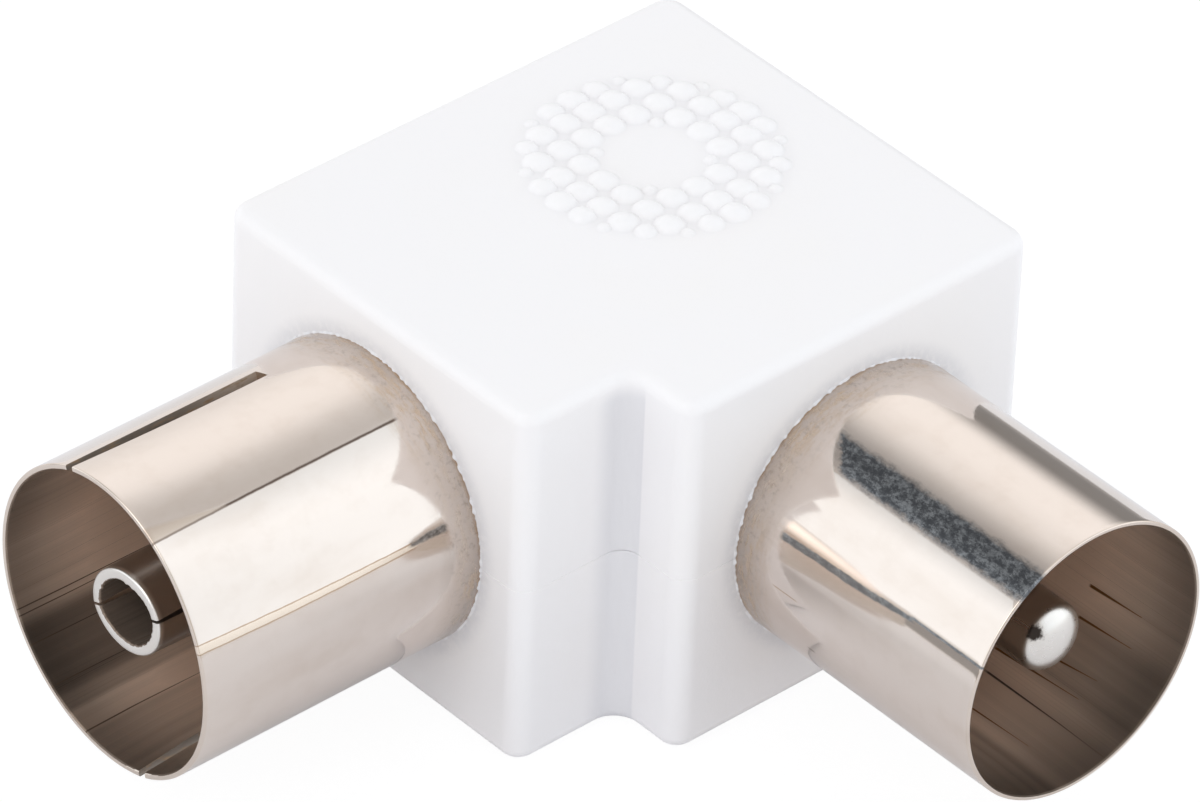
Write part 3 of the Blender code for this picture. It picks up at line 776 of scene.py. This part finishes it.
def shell_block(name, notch, seam_height, flat_height):
    """One half of the elbow as a solid block, with its rim rounded and its seam edge broken."""
    sizes = bpy.context.scene.adapter_body
    outline = elbow_outline(0, 0, notch, 14)
    up = 1 if flat_height > seam_height else -1
    steps = 10
    rows = [(sizes.seam_edge, 0), (0, sizes.seam_edge)]
    tall = abs(flat_height - seam_height)
    for k in range(steps + 1):
        a = pi / 2 * k / steps
        rows.append((sizes.edge * (1 - cos(a)), tall - sizes.edge * (1 - sin(a))))
    work = bmesh.new()
    loops = []
    for inset, height in rows:
        z = seam_height + up * height
        loop = []
        for place, outward in outline:
            spot = place - outward * inset
            loop.append(work.verts.new((spot.x, spot.y, z)))
        loops.append(loop)
    for one, two in zip(loops, loops[1:]):
        for k in range(len(one)):
            n = (k + 1) % len(one)
            work.faces.new((one[k], one[n], two[n], two[k]))
    work.faces.new(loops[0])
    work.faces.new(loops[-1])
    bmesh.ops.recalc_face_normals(work, faces=work.faces)
    return object_of(name, work)


def hollow_cutter():
    """The room inside both shells."""
    sizes = bpy.context.scene.adapter_body
    outline = elbow_outline(sizes.wall, sizes.end_wall, sizes.hollow_notch, 4)
    work = bmesh.new()
    low = [work.verts.new((p.x, p.y, sizes.wall)) for p, _ in outline]
    high = [work.verts.new((p.x, p.y, LEVEL - sizes.wall)) for p, _ in outline]
    for k in range(len(low)):
        n = (k + 1) % len(low)
        work.faces.new((low[k], low[n], high[n], high[k]))
    work.faces.new(low)
    work.faces.new(high)
    bmesh.ops.recalc_face_normals(work, faces=work.faces)
    return object_of("hollow", work)


def bore_cutter(name, radius, face, place):
    """The hole for a sleeve, with the groove for its flange."""
    flange = 0.55 * MM
    profile = [
        (0, face + MM),
        (radius, face + MM),
        (radius, face - 0.95 * MM),
        (radius + flange, face - 0.95 * MM),
        (radius + flange, face - 1.5 * MM),
        (radius, face - 1.5 * MM),
        (radius, face - 3.2 * MM),
        (0, face - 3.2 * MM),
    ]
    cutter = lathe(name, profile, 192)
    cutter.matrix_world = place
    return cutter


def bore_cutters():
    """What is cut out of both shells: their room and the two bores."""
    body = bpy.context.scene.adapter_body
    sizes = bpy.context.scene.adapter_connectors
    return [
        hollow_cutter(),
        bore_cutter("jack_bore", sizes.jack_radius, body.jack_face, jack_place()),
        bore_cutter("plug_bore", sizes.plug_radius, body.plug_face, plug_place()),
    ]


def add_flash(obj, radius, face, place, seed, upper):
    """Thin uneven plastic that has crept out along a sleeve, on one half of the body."""
    high = bpy.context.scene.adapter_body.flash
    work = bmesh.new()
    work.from_mesh(obj.data)
    steps = 540
    rows = []
    for k in range(steps + 1):
        a = pi * k / steps + (0 if upper else pi)
        spot = Vector((radius / MM * cos(a), radius / MM * sin(a), seed))
        creep = high * (0.4 + 0.6 * noise.noise(spot * 1.1) + 1.3 * noise.noise(spot * 6.0))
        creep = max(creep, 0.05 * high)
        foot = high * (1.0 + 0.8 * noise.noise(spot * 2.2 + Vector((9, 0, 0))))
        section = (
            (radius - 0.01 * MM, face - 0.05 * MM),
            (radius - 0.005 * MM, face + creep),
            (radius + 0.025 * MM, face + creep * 0.8),
            (radius + foot, face + 0.004 * MM),
            (radius + foot, face - 0.05 * MM),
        )
        row = []
        for r, z in section:
            side = Vector((r * cos(a), r * sin(a), z))
            row.append(work.verts.new(place @ side))
        rows.append(row)
    for one, two in zip(rows, rows[1:]):
        for k in range(4):
            work.faces.new((one[k], two[k], two[k + 1], one[k + 1]))
    work.to_mesh(obj.data)
    work.free()


def add_both_flashes(obj, upper):
    """The flash round both sleeves, on one shell."""
    body = bpy.context.scene.adapter_body
    sizes = bpy.context.scene.adapter_connectors
    quarter = Matrix.Rotation(pi / 2, 4, "Z")
    add_flash(obj, sizes.jack_radius, body.jack_face, jack_place(), 2.0, upper)
    add_flash(obj, sizes.plug_radius, body.plug_face, plug_place() @ quarter, 8.0, upper)


def dome_heights(across, along):
    """Height of the grip over the flat top, for arrays of places from the ring's middle.

    Neighbouring domes meet in soft valleys. Domes that the ring's edges would cut are smaller
    and stand just inside the ring.
    """
    grip = bpy.context.scene.adapter_grip
    tallest = np.zeros_like(across)
    for i in (-1, 0, 1):
        for j in (-1, 0, 1):
            middle_across = (np.round(across / grip.pitch) + i) * grip.pitch
            middle_along = (np.round(along / grip.pitch) + j) * grip.pitch
            ring = np.maximum(np.hypot(middle_across, middle_along), 1e-9)
            room = np.minimum(grip.outer - ring, ring - grip.hole) + grip.radius
            radius = np.clip(room * 0.62, 0, grip.radius)
            held = np.clip(ring, grip.hole + radius, grip.outer - radius) / ring
            away = np.hypot(across - middle_across * held, along - middle_along * held)
            dome = np.clip(1 - (away / np.maximum(radius, 1e-9)) ** 2, 0, 1)
            foot = 1 - (1 - dome) ** 5
            rise = dome * foot * np.clip(radius / grip.radius, 0, 1)
            tallest = np.maximum(tallest, rise)
    return grip.height * tallest


def fill_top(obj):
    """Puts the ring of domes into the flat top of the upper shell."""
    grip = bpy.context.scene.adapter_grip
    half = int(np.ceil((grip.outer + 0.1 * MM) / grip.cell))
    work = bmesh.new()
    work.from_mesh(obj.data)
    flats = [f for f in work.faces if f.normal.z > 0.99 and f.calc_center_median().z > LEVEL - 1e-6]
    top = max(flats, key=lambda f: f.calc_area())
    edges = list(top.edges)
    bmesh.ops.delete(work, geom=[top], context="FACES_ONLY")
    places = np.arange(-half, half + 1) * grip.cell
    across, along = np.meshgrid(places, places, indexing="ij")
    rises = dome_heights(across, along)
    count = len(places)
    grid = [
        [
            work.verts.new(
                (places[i] - grip.offset, places[j] + grip.offset, LEVEL + float(rises[i, j]))
            )
            for j in range(count)
        ]
        for i in range(count)
    ]
    for i in range(count - 1):
        for j in range(count - 1):
            work.faces.new((grid[i][j], grid[i + 1][j], grid[i + 1][j + 1], grid[i][j + 1]))
    border = [grid[i][0] for i in range(count)] + [grid[-1][j] for j in range(1, count)]
    border += [grid[i][-1] for i in range(count - 2, -1, -1)]
    border += [grid[0][j] for j in range(count - 2, 0, -1)]
    for one, two in zip(border, border[1:] + border[:1]):
        edges.append(work.edges.get((one, two)))
    bmesh.ops.triangle_fill(work, use_beauty=True, edges=edges, normal=(0, 0, 1))
    work.to_mesh(obj.data)
    work.free()


class ADAPTER_OT_upper_shell(bpy.types.Operator):
    """Make the upper shell with its ring of domes"""

    bl_idname = "adapter.upper_shell"
    bl_label = "Upper shell"

    def execute(self, context):
        body = context.scene.adapter_body
        shell = shell_block("white_upper_shell", body.notch, AXIS_HEIGHT, LEVEL)
        cut(shell, *bore_cutters())
        fill_top(shell)
        add_both_flashes(shell, True)
        shell.data.materials.clear()
        shell.data.materials.append(moulded_white())
        shade(shell, 40)
        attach(shell, "root")
        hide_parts("upper_shell")
        return {"FINISHED"}


class ADAPTER_OT_lower_shell(bpy.types.Operator):
    """Make the lower shell"""

    bl_idname = "adapter.lower_shell"
    bl_label = "Lower shell"

    def execute(self, context):
        body = context.scene.adapter_body
        shell = shell_block("white_lower_shell", body.notch + body.ledge, AXIS_HEIGHT, 0.0)
        cut(shell, *bore_cutters())
        add_both_flashes(shell, False)
        shell.data.materials.clear()
        shell.data.materials.append(bpy.data.materials["moulded_white"])
        shade(shell, 40)
        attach(shell, "root")
        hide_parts("lower_shell")
        return {"FINISHED"}


# The sleeves


def sleeve_profile(radius, wall, mouth, tail, face, rings):
    """Outer side from the mouth to the tail, then back up the inside."""
    sizes = bpy.context.scene.adapter_connectors
    lip = sizes.lip
    inner = radius - wall
    curl = 0.4 * MM
    flange = 0.5 * MM
    inner_lip = 1.2 * lip
    outer_lip = 0.7 * lip
    thin = 0.34 * wall
    rim = arc((inner + thin + inner_lip, mouth - inner_lip), inner_lip, pi, pi / 2, 7)
    rim += arc((radius - outer_lip, mouth - outer_lip), outer_lip, pi / 2, 0, 5)
    outside = [(radius, z) for z in rings]
    flange_points = [
        (radius, face - 1.0 * MM),
        (radius + flange, face - 1.0 * MM),
        (radius + flange, face - 1.45 * MM),
        (radius, face - 1.45 * MM),
    ]
    tail_points = [
        (radius, tail),
        (inner - curl, tail),
        (inner - curl, tail + 0.3 * MM),
        (inner, tail + 0.3 * MM),
    ]
    inside = []
    for z in reversed(rings):
        inside.append((inner + thin * max(0.0, 1 - (mouth - z) / (2.0 * MM)), z))
    return rim + outside + flange_points + tail_points + inside


def lean_in(obj, root, mouth, lean):
    """Bends split halves: none at the slots' root, most at the mouth."""
    for vertex in obj.data.vertices:
        far = (vertex.co.z - root) / (mouth - root)
        if far > 0:
            vertex.co.x, vertex.co.y = lean(vertex.co.x, vertex.co.y, far * far)


def lean_sleeve(x, y, share):
    """The half on the +X side is pressed in further and flatter than the other."""
    across = x / hypot(x, y)
    along = y / hypot(x, y)
    lean = -0.12 - 0.33 * across * across if across > 0 else 0.18
    return x + lean * MM * share, y + 0.1 * MM * along * share


def lean_contact(x, y, share):
    """The halves of the contact lean towards each other and spread sideways."""
    side = 1 if y > 0 else -1
    return x + 0.1 * MM * x / hypot(x, y) * share, y - side * 0.1 * MM * share


def line_bore(obj, radius, wall, *materials):
    """Gives the inside of a sleeve its own finish, and the slots' edges theirs."""
    for material in materials:
        obj.data.materials.append(material)
    middle = radius - wall * 0.3
    for face in obj.data.polygons:
        centre = face.center
        reach = hypot(centre.x, centre.y)
        outward = (face.normal.x * centre.x + face.normal.y * centre.y) / max(reach, 1e-9)
        if reach < middle and outward < -0.5:
            face.material_index = 1
        elif abs(outward) < 0.3 and abs(face.normal.z) < 0.3 and len(materials) > 1:
            face.material_index = 2


class ADAPTER_OT_jack_sleeve(bpy.types.Operator):
    """Make the jack's slotted spring sleeve"""

    bl_idname = "adapter.jack_sleeve"
    bl_label = "Jack sleeve"

    def execute(self, context):
        sizes = context.scene.adapter_connectors
        colours = context.scene.adapter_finishes
        root = sizes.jack_mouth - sizes.slot_length
        rings = [float(z) for z in np.linspace(sizes.jack_mouth - 0.2 * MM, root, 14)]
        profile = sleeve_profile(
            sizes.jack_radius,
            sizes.jack_wall,
            sizes.jack_mouth,
            sizes.jack_tail,
            context.scene.adapter_body.jack_face,
            rings,
        )
        sleeve = lathe("nickel_jack_sleeve", profile, 240, closed=True)
        length_cut = sizes.slot_length + sizes.jack_wall
        slots = box_cutter(
            "slots",
            (sizes.slot_width, 3 * sizes.jack_radius, length_cut),
            (0, 0, root + length_cut / 2),
        )
        cut(sleeve, slots)
        lean_in(sleeve, root, sizes.jack_mouth, lean_sleeve)
        sleeve.data.materials.clear()
        root_face = context.scene.adapter_body.jack_face
        rim = sizes.jack_mouth
        plate = plated("jack_plate", tuple(colours.nickel), 0.05, JACK_MARKS, root_face, rim)
        sleeve.data.materials.append(plate)
        # The bore is painted darker at the mouth and lighter deep inside: painted shade and light
        lining = drawn_bore(
            "jack_bore_finish", tuple(colours.bore), JACK_ZONES, JACK_STREAKS, rim, 0.28, 1.2
        )
        line_bore(sleeve, sizes.jack_radius, sizes.jack_wall, lining, sheared_edge())
        tilt_slots(sleeve)
        shade(sleeve, 40)
        sleeve.matrix_world = jack_place()
        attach(sleeve, "root")
        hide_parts("jack_sleeve")
        return {"FINISHED"}


class ADAPTER_OT_plug_sleeve(bpy.types.Operator):
    """Make the plug's plain sleeve"""

    bl_idname = "adapter.plug_sleeve"
    bl_label = "Plug sleeve"

    def execute(self, context):
        sizes = context.scene.adapter_connectors
        colours = context.scene.adapter_finishes
        face = context.scene.adapter_body.plug_face
        rings = [float(z) for z in np.linspace(sizes.plug_mouth - 0.2 * MM, face, 12)]
        profile = sleeve_profile(
            sizes.plug_radius, sizes.plug_wall, sizes.plug_mouth, sizes.plug_tail, face, rings
        )
        sleeve = lathe("nickel_plug_sleeve", profile, 240, closed=True)
        rim = sizes.plug_mouth
        plate = plated("plug_plate", tuple(colours.nickel), 0.05, PLUG_MARKS, face, rim)
        sleeve.data.materials.append(plate)
        # The bore is painted darker at the mouth and lighter deep inside: painted shade and light
        lining = drawn_bore(
            "plug_bore_finish", tuple(colours.bore), PLUG_ZONES, PLUG_STREAKS, rim, 0.2, 1.05
        )
        line_bore(sleeve, sizes.plug_radius, sizes.plug_wall, lining)
        shade(sleeve, 40)
        sleeve.matrix_world = plug_place()
        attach(sleeve, "root")
        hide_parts("plug_sleeve")
        return {"FINISHED"}


# The contact and the pin


def rear_profile(front):
    """Neck, collar and solder cup behind the insulator, from its front face."""
    neck = 1.0 * MM
    collar = neck + 0.5 * MM
    back = front - 2.3 * MM
    cup = 0.85 * MM
    bore = 0.5 * MM
    end = back - 2.3 * MM
    return [
        (neck, front),
        (neck, back),
        (collar, back),
        (collar, back - 0.5 * MM),
        (cup, back - 0.5 * MM),
        (cup, end),
        (bore, end),
        (bore, end + 1.4 * MM),
        (0, end + 1.4 * MM),
    ]


def roughen_bore(obj, inner, tip):
    """Makes the contact's wall uneven at the tip, with small burrs on its inner edge."""
    for vertex in obj.data.vertices:
        reach = hypot(vertex.co.x, vertex.co.y)
        near = 1 - min((tip - vertex.co.z) / (0.5 * MM), 1)
        if near <= 0 or reach < 0.5 * inner or reach > inner + 0.12 * MM:
            continue
        way = Vector((vertex.co.x / reach, vertex.co.y / reach, 0))
        thick = 0.04 + 0.07 * noise.noise(way * 1.3 + Vector((3.1, 0, 0)))
        burr = max(noise.noise(way * 9.0), 0) * 0.07 + noise.noise(way * 26.0) * 0.02
        change = (thick + burr) * MM * near
        vertex.co.x -= way.x * change
        vertex.co.y -= way.y * change


class ADAPTER_OT_contact(bpy.types.Operator):
    """Make the jack's split contact"""

    bl_idname = "adapter.contact"
    bl_label = "Jack contact"

    def execute(self, context):
        sizes = context.scene.adapter_connectors
        colours = context.scene.adapter_finishes
        tip = sizes.contact_tip
        inner = sizes.contact_radius - sizes.contact_wall
        root = tip - sizes.contact_cut
        front = -float(CONTACT_HIGH[1]) + 4.6 * MM
        lip = 0.09 * MM
        rings = [float(z) for z in np.linspace(tip - 0.2 * MM, root, 10)]
        profile = [(0, tip - sizes.contact_bore), (inner, tip - sizes.contact_bore)]
        profile += [(inner, z) for z in reversed(rings)]
        profile += arc((inner + lip, tip - lip), lip, pi, pi / 2, 4)
        profile += arc((sizes.contact_radius - lip, tip - lip), lip, pi / 2, 0, 4)
        profile += [(sizes.contact_radius, z) for z in rings]
        profile += [(sizes.contact_radius, front)] + rear_profile(front)
        contact = lathe("nickel_jack_contact", profile, 192)
        length_cut = sizes.contact_cut + sizes.contact_wall
        slots = box_cutter(
            "contact_slots",
            (4 * sizes.contact_radius, sizes.contact_slot, length_cut),
            (0, 0, root + length_cut / 2),
        )
        cut(contact, slots)
        roughen_bore(contact, inner, tip)
        lean_in(contact, root, tip, lean_contact)
        contact.data.materials.clear()
        # Behind its bright tip the contact is darker: painted shade
        plate = plated("contact_plate", tuple(colours.bright), 0.3, tip=tip)
        contact.data.materials.append(plate)
        # The contact's inside: the bore's colour at a quarter, painted shade
        lining = drawn_bore("contact_bore_finish", tuple(0.25 * c for c in colours.bore))
        line_bore(contact, sizes.contact_radius, sizes.contact_wall, lining)
        tilt_slots(contact)
        shade(contact, 40)
        contact.matrix_world = jack_place()
        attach(contact, "root")
        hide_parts("jack_contact")
        return {"FINISHED"}


class ADAPTER_OT_pin(bpy.types.Operator):
    """Make the plug's round-ended pin"""

    bl_idname = "adapter.pin"
    bl_label = "Plug pin"

    def execute(self, context):
        sizes = context.scene.adapter_connectors
        colours = context.scene.adapter_finishes
        radius = sizes.pin_radius
        front = float(PIN_LOW[0]) + 4.6 * MM
        dome = sizes.pin_dome
        profile = [(0, sizes.pin_tip)]
        for k in range(1, 19):
            a = pi / 2 * k / 18
            profile.append((radius * sin(a), sizes.pin_tip - dome + dome * cos(a)))
        profile += [(radius, front)] + rear_profile(front)
        pin = lathe("nickel_plug_pin", profile, 96)
        # Behind the dome's ring the pin is darker, painted shade, and the spot on its end is a
        # painted reflection
        ring = sizes.pin_tip - dome + 0.34 * MM
        plate = plated("pin_plate", tuple(colours.bright), 0.27, tip=ring, spot=(-0.66, -0.82, 0.21))
        pin.data.materials.append(plate)
        shade(pin, 40)
        pin.matrix_world = plug_place()
        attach(pin, "root")
        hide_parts("plug_pin")
        return {"FINISHED"}


class ADAPTER_OT_insides(bpy.types.Operator):
    """Finish the insulators, the link wire and the screen"""

    bl_idname = "adapter.insides"
    bl_label = "Inside pieces"

    def execute(self, context):
        colours = context.scene.adapter_finishes
        insulator = plain_insulator()
        sheet = tinned("screen_sheet", tuple(colours.sheet))
        wire = tinned("link_wire", tuple(colours.wire))
        worn_by = {
            "jack_insulator": insulator,
            "plug_insulator": insulator,
            "screen_frame": sheet,
            "screen_lid": sheet,
            "centre_link": wire,
        }
        for node, material in worn_by.items():
            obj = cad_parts[node]
            obj.data.materials.clear()
            obj.data.materials.append(material)
        return {"FINISHED"}


# The studio


def bearing(azimuth, elevation):
    """The unit vector at an azimuth from -Y towards +X and an elevation, in degrees."""
    a = radians(azimuth)
    e = radians(elevation)
    return Vector((sin(a) * cos(e), -cos(a) * cos(e), sin(e)))


def place_camera():
    """The camera where the photo's camera stood."""
    studio = bpy.context.scene.adapter_studio
    a = studio.azimuth
    e = studio.elevation
    back = Vector((sin(a) * cos(e), -cos(a) * cos(e), sin(e)))
    right = Vector((0, 0, 1)).cross(back).normalized()
    up = back.cross(right)
    turned_right = cos(studio.roll) * right + sin(studio.roll) * up
    turned_up = cos(studio.roll) * up - sin(studio.roll) * right
    target = Vector((1.124 * MM, -2.783 * MM, AXIS_HEIGHT))
    data = bpy.data.cameras.new("photo_camera")
    data.sensor_width = 36
    data.lens = studio.lens
    data.clip_start = 10 * MM
    data.clip_end = 10
    camera = bpy.data.objects.new("photo_camera", data)
    axes = Matrix((turned_right, turned_up, back)).transposed().to_4x4()
    camera.matrix_world = Matrix.Translation(target + back * studio.distance) @ axes
    bpy.context.scene.collection.objects.link(camera)
    bpy.context.scene.camera = camera


def softbox(name, azimuth, elevation, wide, high, strength, distance=0.6):
    """An even rectangular light that faces the adapter. Its size is given as angles."""
    data = bpy.data.lights.new(name, "AREA")
    data.shape = "RECTANGLE"
    data.size = 2 * distance * tan(radians(wide / 2))
    data.size_y = 2 * distance * tan(radians(high / 2))
    data.energy = strength * pi * data.size * data.size_y
    data.color = bpy.context.scene.adapter_studio.cool
    lamp = bpy.data.objects.new(name, data)
    way = bearing(azimuth, elevation)
    lamp.location = way * distance + Vector((0, 0, AXIS_HEIGHT))
    lamp.rotation_euler = way.to_track_quat("Z", "Y").to_euler()
    bpy.context.scene.collection.objects.link(lamp)


# Softboxes: azimuth, elevation, width and height in degrees, and share of the strength
SOFTBOXES = (
    ("right_softbox", 126.0, 30.8, 78.0, 66.4, 1.0),
    ("left_softbox", -35.0, 23.5, 110.0, 41.6, 0.88),
)

# Parts of the room: azimuth, elevation, core and rim in degrees, and brightness
ROOM_PARTS = (
    (-137.0, 36.0, 4.0, 34.0, 1.22),
    (-66.0, 53.0, 3.0, 30.0, 0.38),
    (168.0, 57.0, 2.0, 30.0, 0.72),
    (70.0, 15.0, 10.0, 70.0, 0.72),
    (6.0, 47.0, 6.0, 32.0, 2.3),
    (47.2, 37.4, 6.0, 9.0, 0.35),
    (-147.0, 4.0, 5.0, 25.0, 0.3),
)


def studio_room():
    """Even light, with the brighter and darker parts of the room that the plate mirrors."""
    studio = bpy.context.scene.adapter_studio
    world = bpy.data.worlds.new("studio_room")
    bpy.context.scene.world = world
    room = Wiring(world, "Generated")
    path = room.tree.nodes.new("ShaderNodeLightPath")
    light = 1.0
    for azimuth, elevation, core, rim, tone in ROOM_PARTS:
        away = room.math("ARCCOSINE", room.towards(bearing(azimuth, elevation)))
        share = room.between(away, radians(core), radians(rim), 1.0, 0.0)
        light = room.toned(light, share, tone)
    gap = room.window(room.split()[2], -0.1, 0.02, 0.004)
    side = room.between(room.towards(bearing(-33, 0)), 0.5, 0.8)
    light = room.toned(light, room.times(gap, side), 0.4)
    overhead = room.between(room.split()[2], 0.3, 1.0, studio.sky, studio.sky * studio.overhead)
    everywhere = room.times(light, overhead)
    shown = room.toned(everywhere, path.outputs["Is Glossy Ray"], light)
    shown = room.toned(shown, path.outputs["Is Camera Ray"], 1.0)
    background = room.tree.nodes["Background"]
    room.join(shown, background.inputs["Strength"])
    background.inputs["Color"].default_value = (1, 1, 1, 1)


# How much of the floor that the camera sees is plain white, and how strong the white is
WHITE_SHARE = 0.88
WHITE_STRENGTH = 1.05


def lay_floor():
    """A pale floor that keeps a faint shadow of the adapter."""
    work = bmesh.new()
    bmesh.ops.create_circle(work, cap_ends=True, segments=96, radius=70 * MM)
    floor = object_of("floor", work)
    paper = Wiring(bpy.data.materials.new("pale_floor"))
    paper.set(Base_Color=(0.92, 0.92, 0.94, 1.0), Roughness=1.0, Specular_IOR_Level=0.0)
    nodes = paper.tree.nodes
    white = nodes.new("ShaderNodeEmission")
    mixed = nodes.new("ShaderNodeMixShader")
    path = nodes.new("ShaderNodeLightPath")
    share = paper.times(path.outputs["Is Camera Ray"], WHITE_SHARE)
    paper.join(WHITE_STRENGTH, white.inputs["Strength"])
    paper.join(share, mixed.inputs[0])
    paper.join(paper.shader.outputs[0], mixed.inputs[1])
    paper.join(white.outputs[0], mixed.inputs[2])
    paper.join(mixed.outputs[0], nodes["Material Output"].inputs["Surface"])
    floor.data.materials.append(paper.material)


class ADAPTER_OT_studio(bpy.types.Operator):
    """Set up the floor, the light and the camera"""

    bl_idname = "adapter.studio"
    bl_label = "Studio"

    def execute(self, context):
        context.scene.view_settings.view_transform = "Standard"
        place_camera()
        studio_room()
        lay_floor()
        strength = context.scene.adapter_studio.softbox
        for name, azimuth, elevation, wide, high, share in SOFTBOXES:
            softbox(name, azimuth, elevation, wide, high, share * strength)
        return {"FINISHED"}


class ADAPTER_PT_sidebar(bpy.types.Panel):
    """Lists the pieces and their sizes"""

    bl_idname = "ADAPTER_PT_sidebar"
    bl_label = "Aerial adapter"
    bl_space_type = "VIEW_3D"
    bl_region_type = "UI"
    bl_category = "Adapter"

    def draw(self, context):
        for operator in OPERATORS:
            self.layout.operator(operator.bl_idname)
        for name in GROUPS:
            settings = getattr(context.scene, name)
            box = self.layout.box()
            for field in settings.__annotations__:
                box.prop(settings, field)


GROUPS = {
    "adapter_body": BodySizes,
    "adapter_grip": GripSizes,
    "adapter_connectors": ConnectorSizes,
    "adapter_finishes": Finishes,
    "adapter_studio": StudioSettings,
}
OPERATORS = (
    ADAPTER_OT_studio,
    ADAPTER_OT_upper_shell,
    ADAPTER_OT_lower_shell,
    ADAPTER_OT_jack_sleeve,
    ADAPTER_OT_plug_sleeve,
    ADAPTER_OT_contact,
    ADAPTER_OT_pin,
    ADAPTER_OT_insides,
)


def register():
    """Registers the settings, the operators and the panel."""
    for group in GROUPS.values():
        bpy.utils.register_class(group)
    for name, group in GROUPS.items():
        setattr(bpy.types.Scene, name, bpy.props.PointerProperty(type=group))
    for operator in OPERATORS:
        bpy.utils.register_class(operator)
    bpy.utils.register_class(ADAPTER_PT_sidebar)


def unregister():
    """Takes them back again."""
    bpy.utils.unregister_class(ADAPTER_PT_sidebar)
    for operator in reversed(OPERATORS):
        bpy.utils.unregister_class(operator)
    for name, group in GROUPS.items():
        delattr(bpy.types.Scene, name)
        bpy.utils.unregister_class(group)


def main():
    """Builds the studio and every piece."""
    register()
    bpy.ops.adapter.studio()
    bpy.ops.adapter.upper_shell()
    bpy.ops.adapter.lower_shell()
    bpy.ops.adapter.jack_sleeve()
    bpy.ops.adapter.plug_sleeve()
    bpy.ops.adapter.contact()
    bpy.ops.adapter.pin()
    bpy.ops.adapter.insides()


if __name__ == "__main__":
    main()
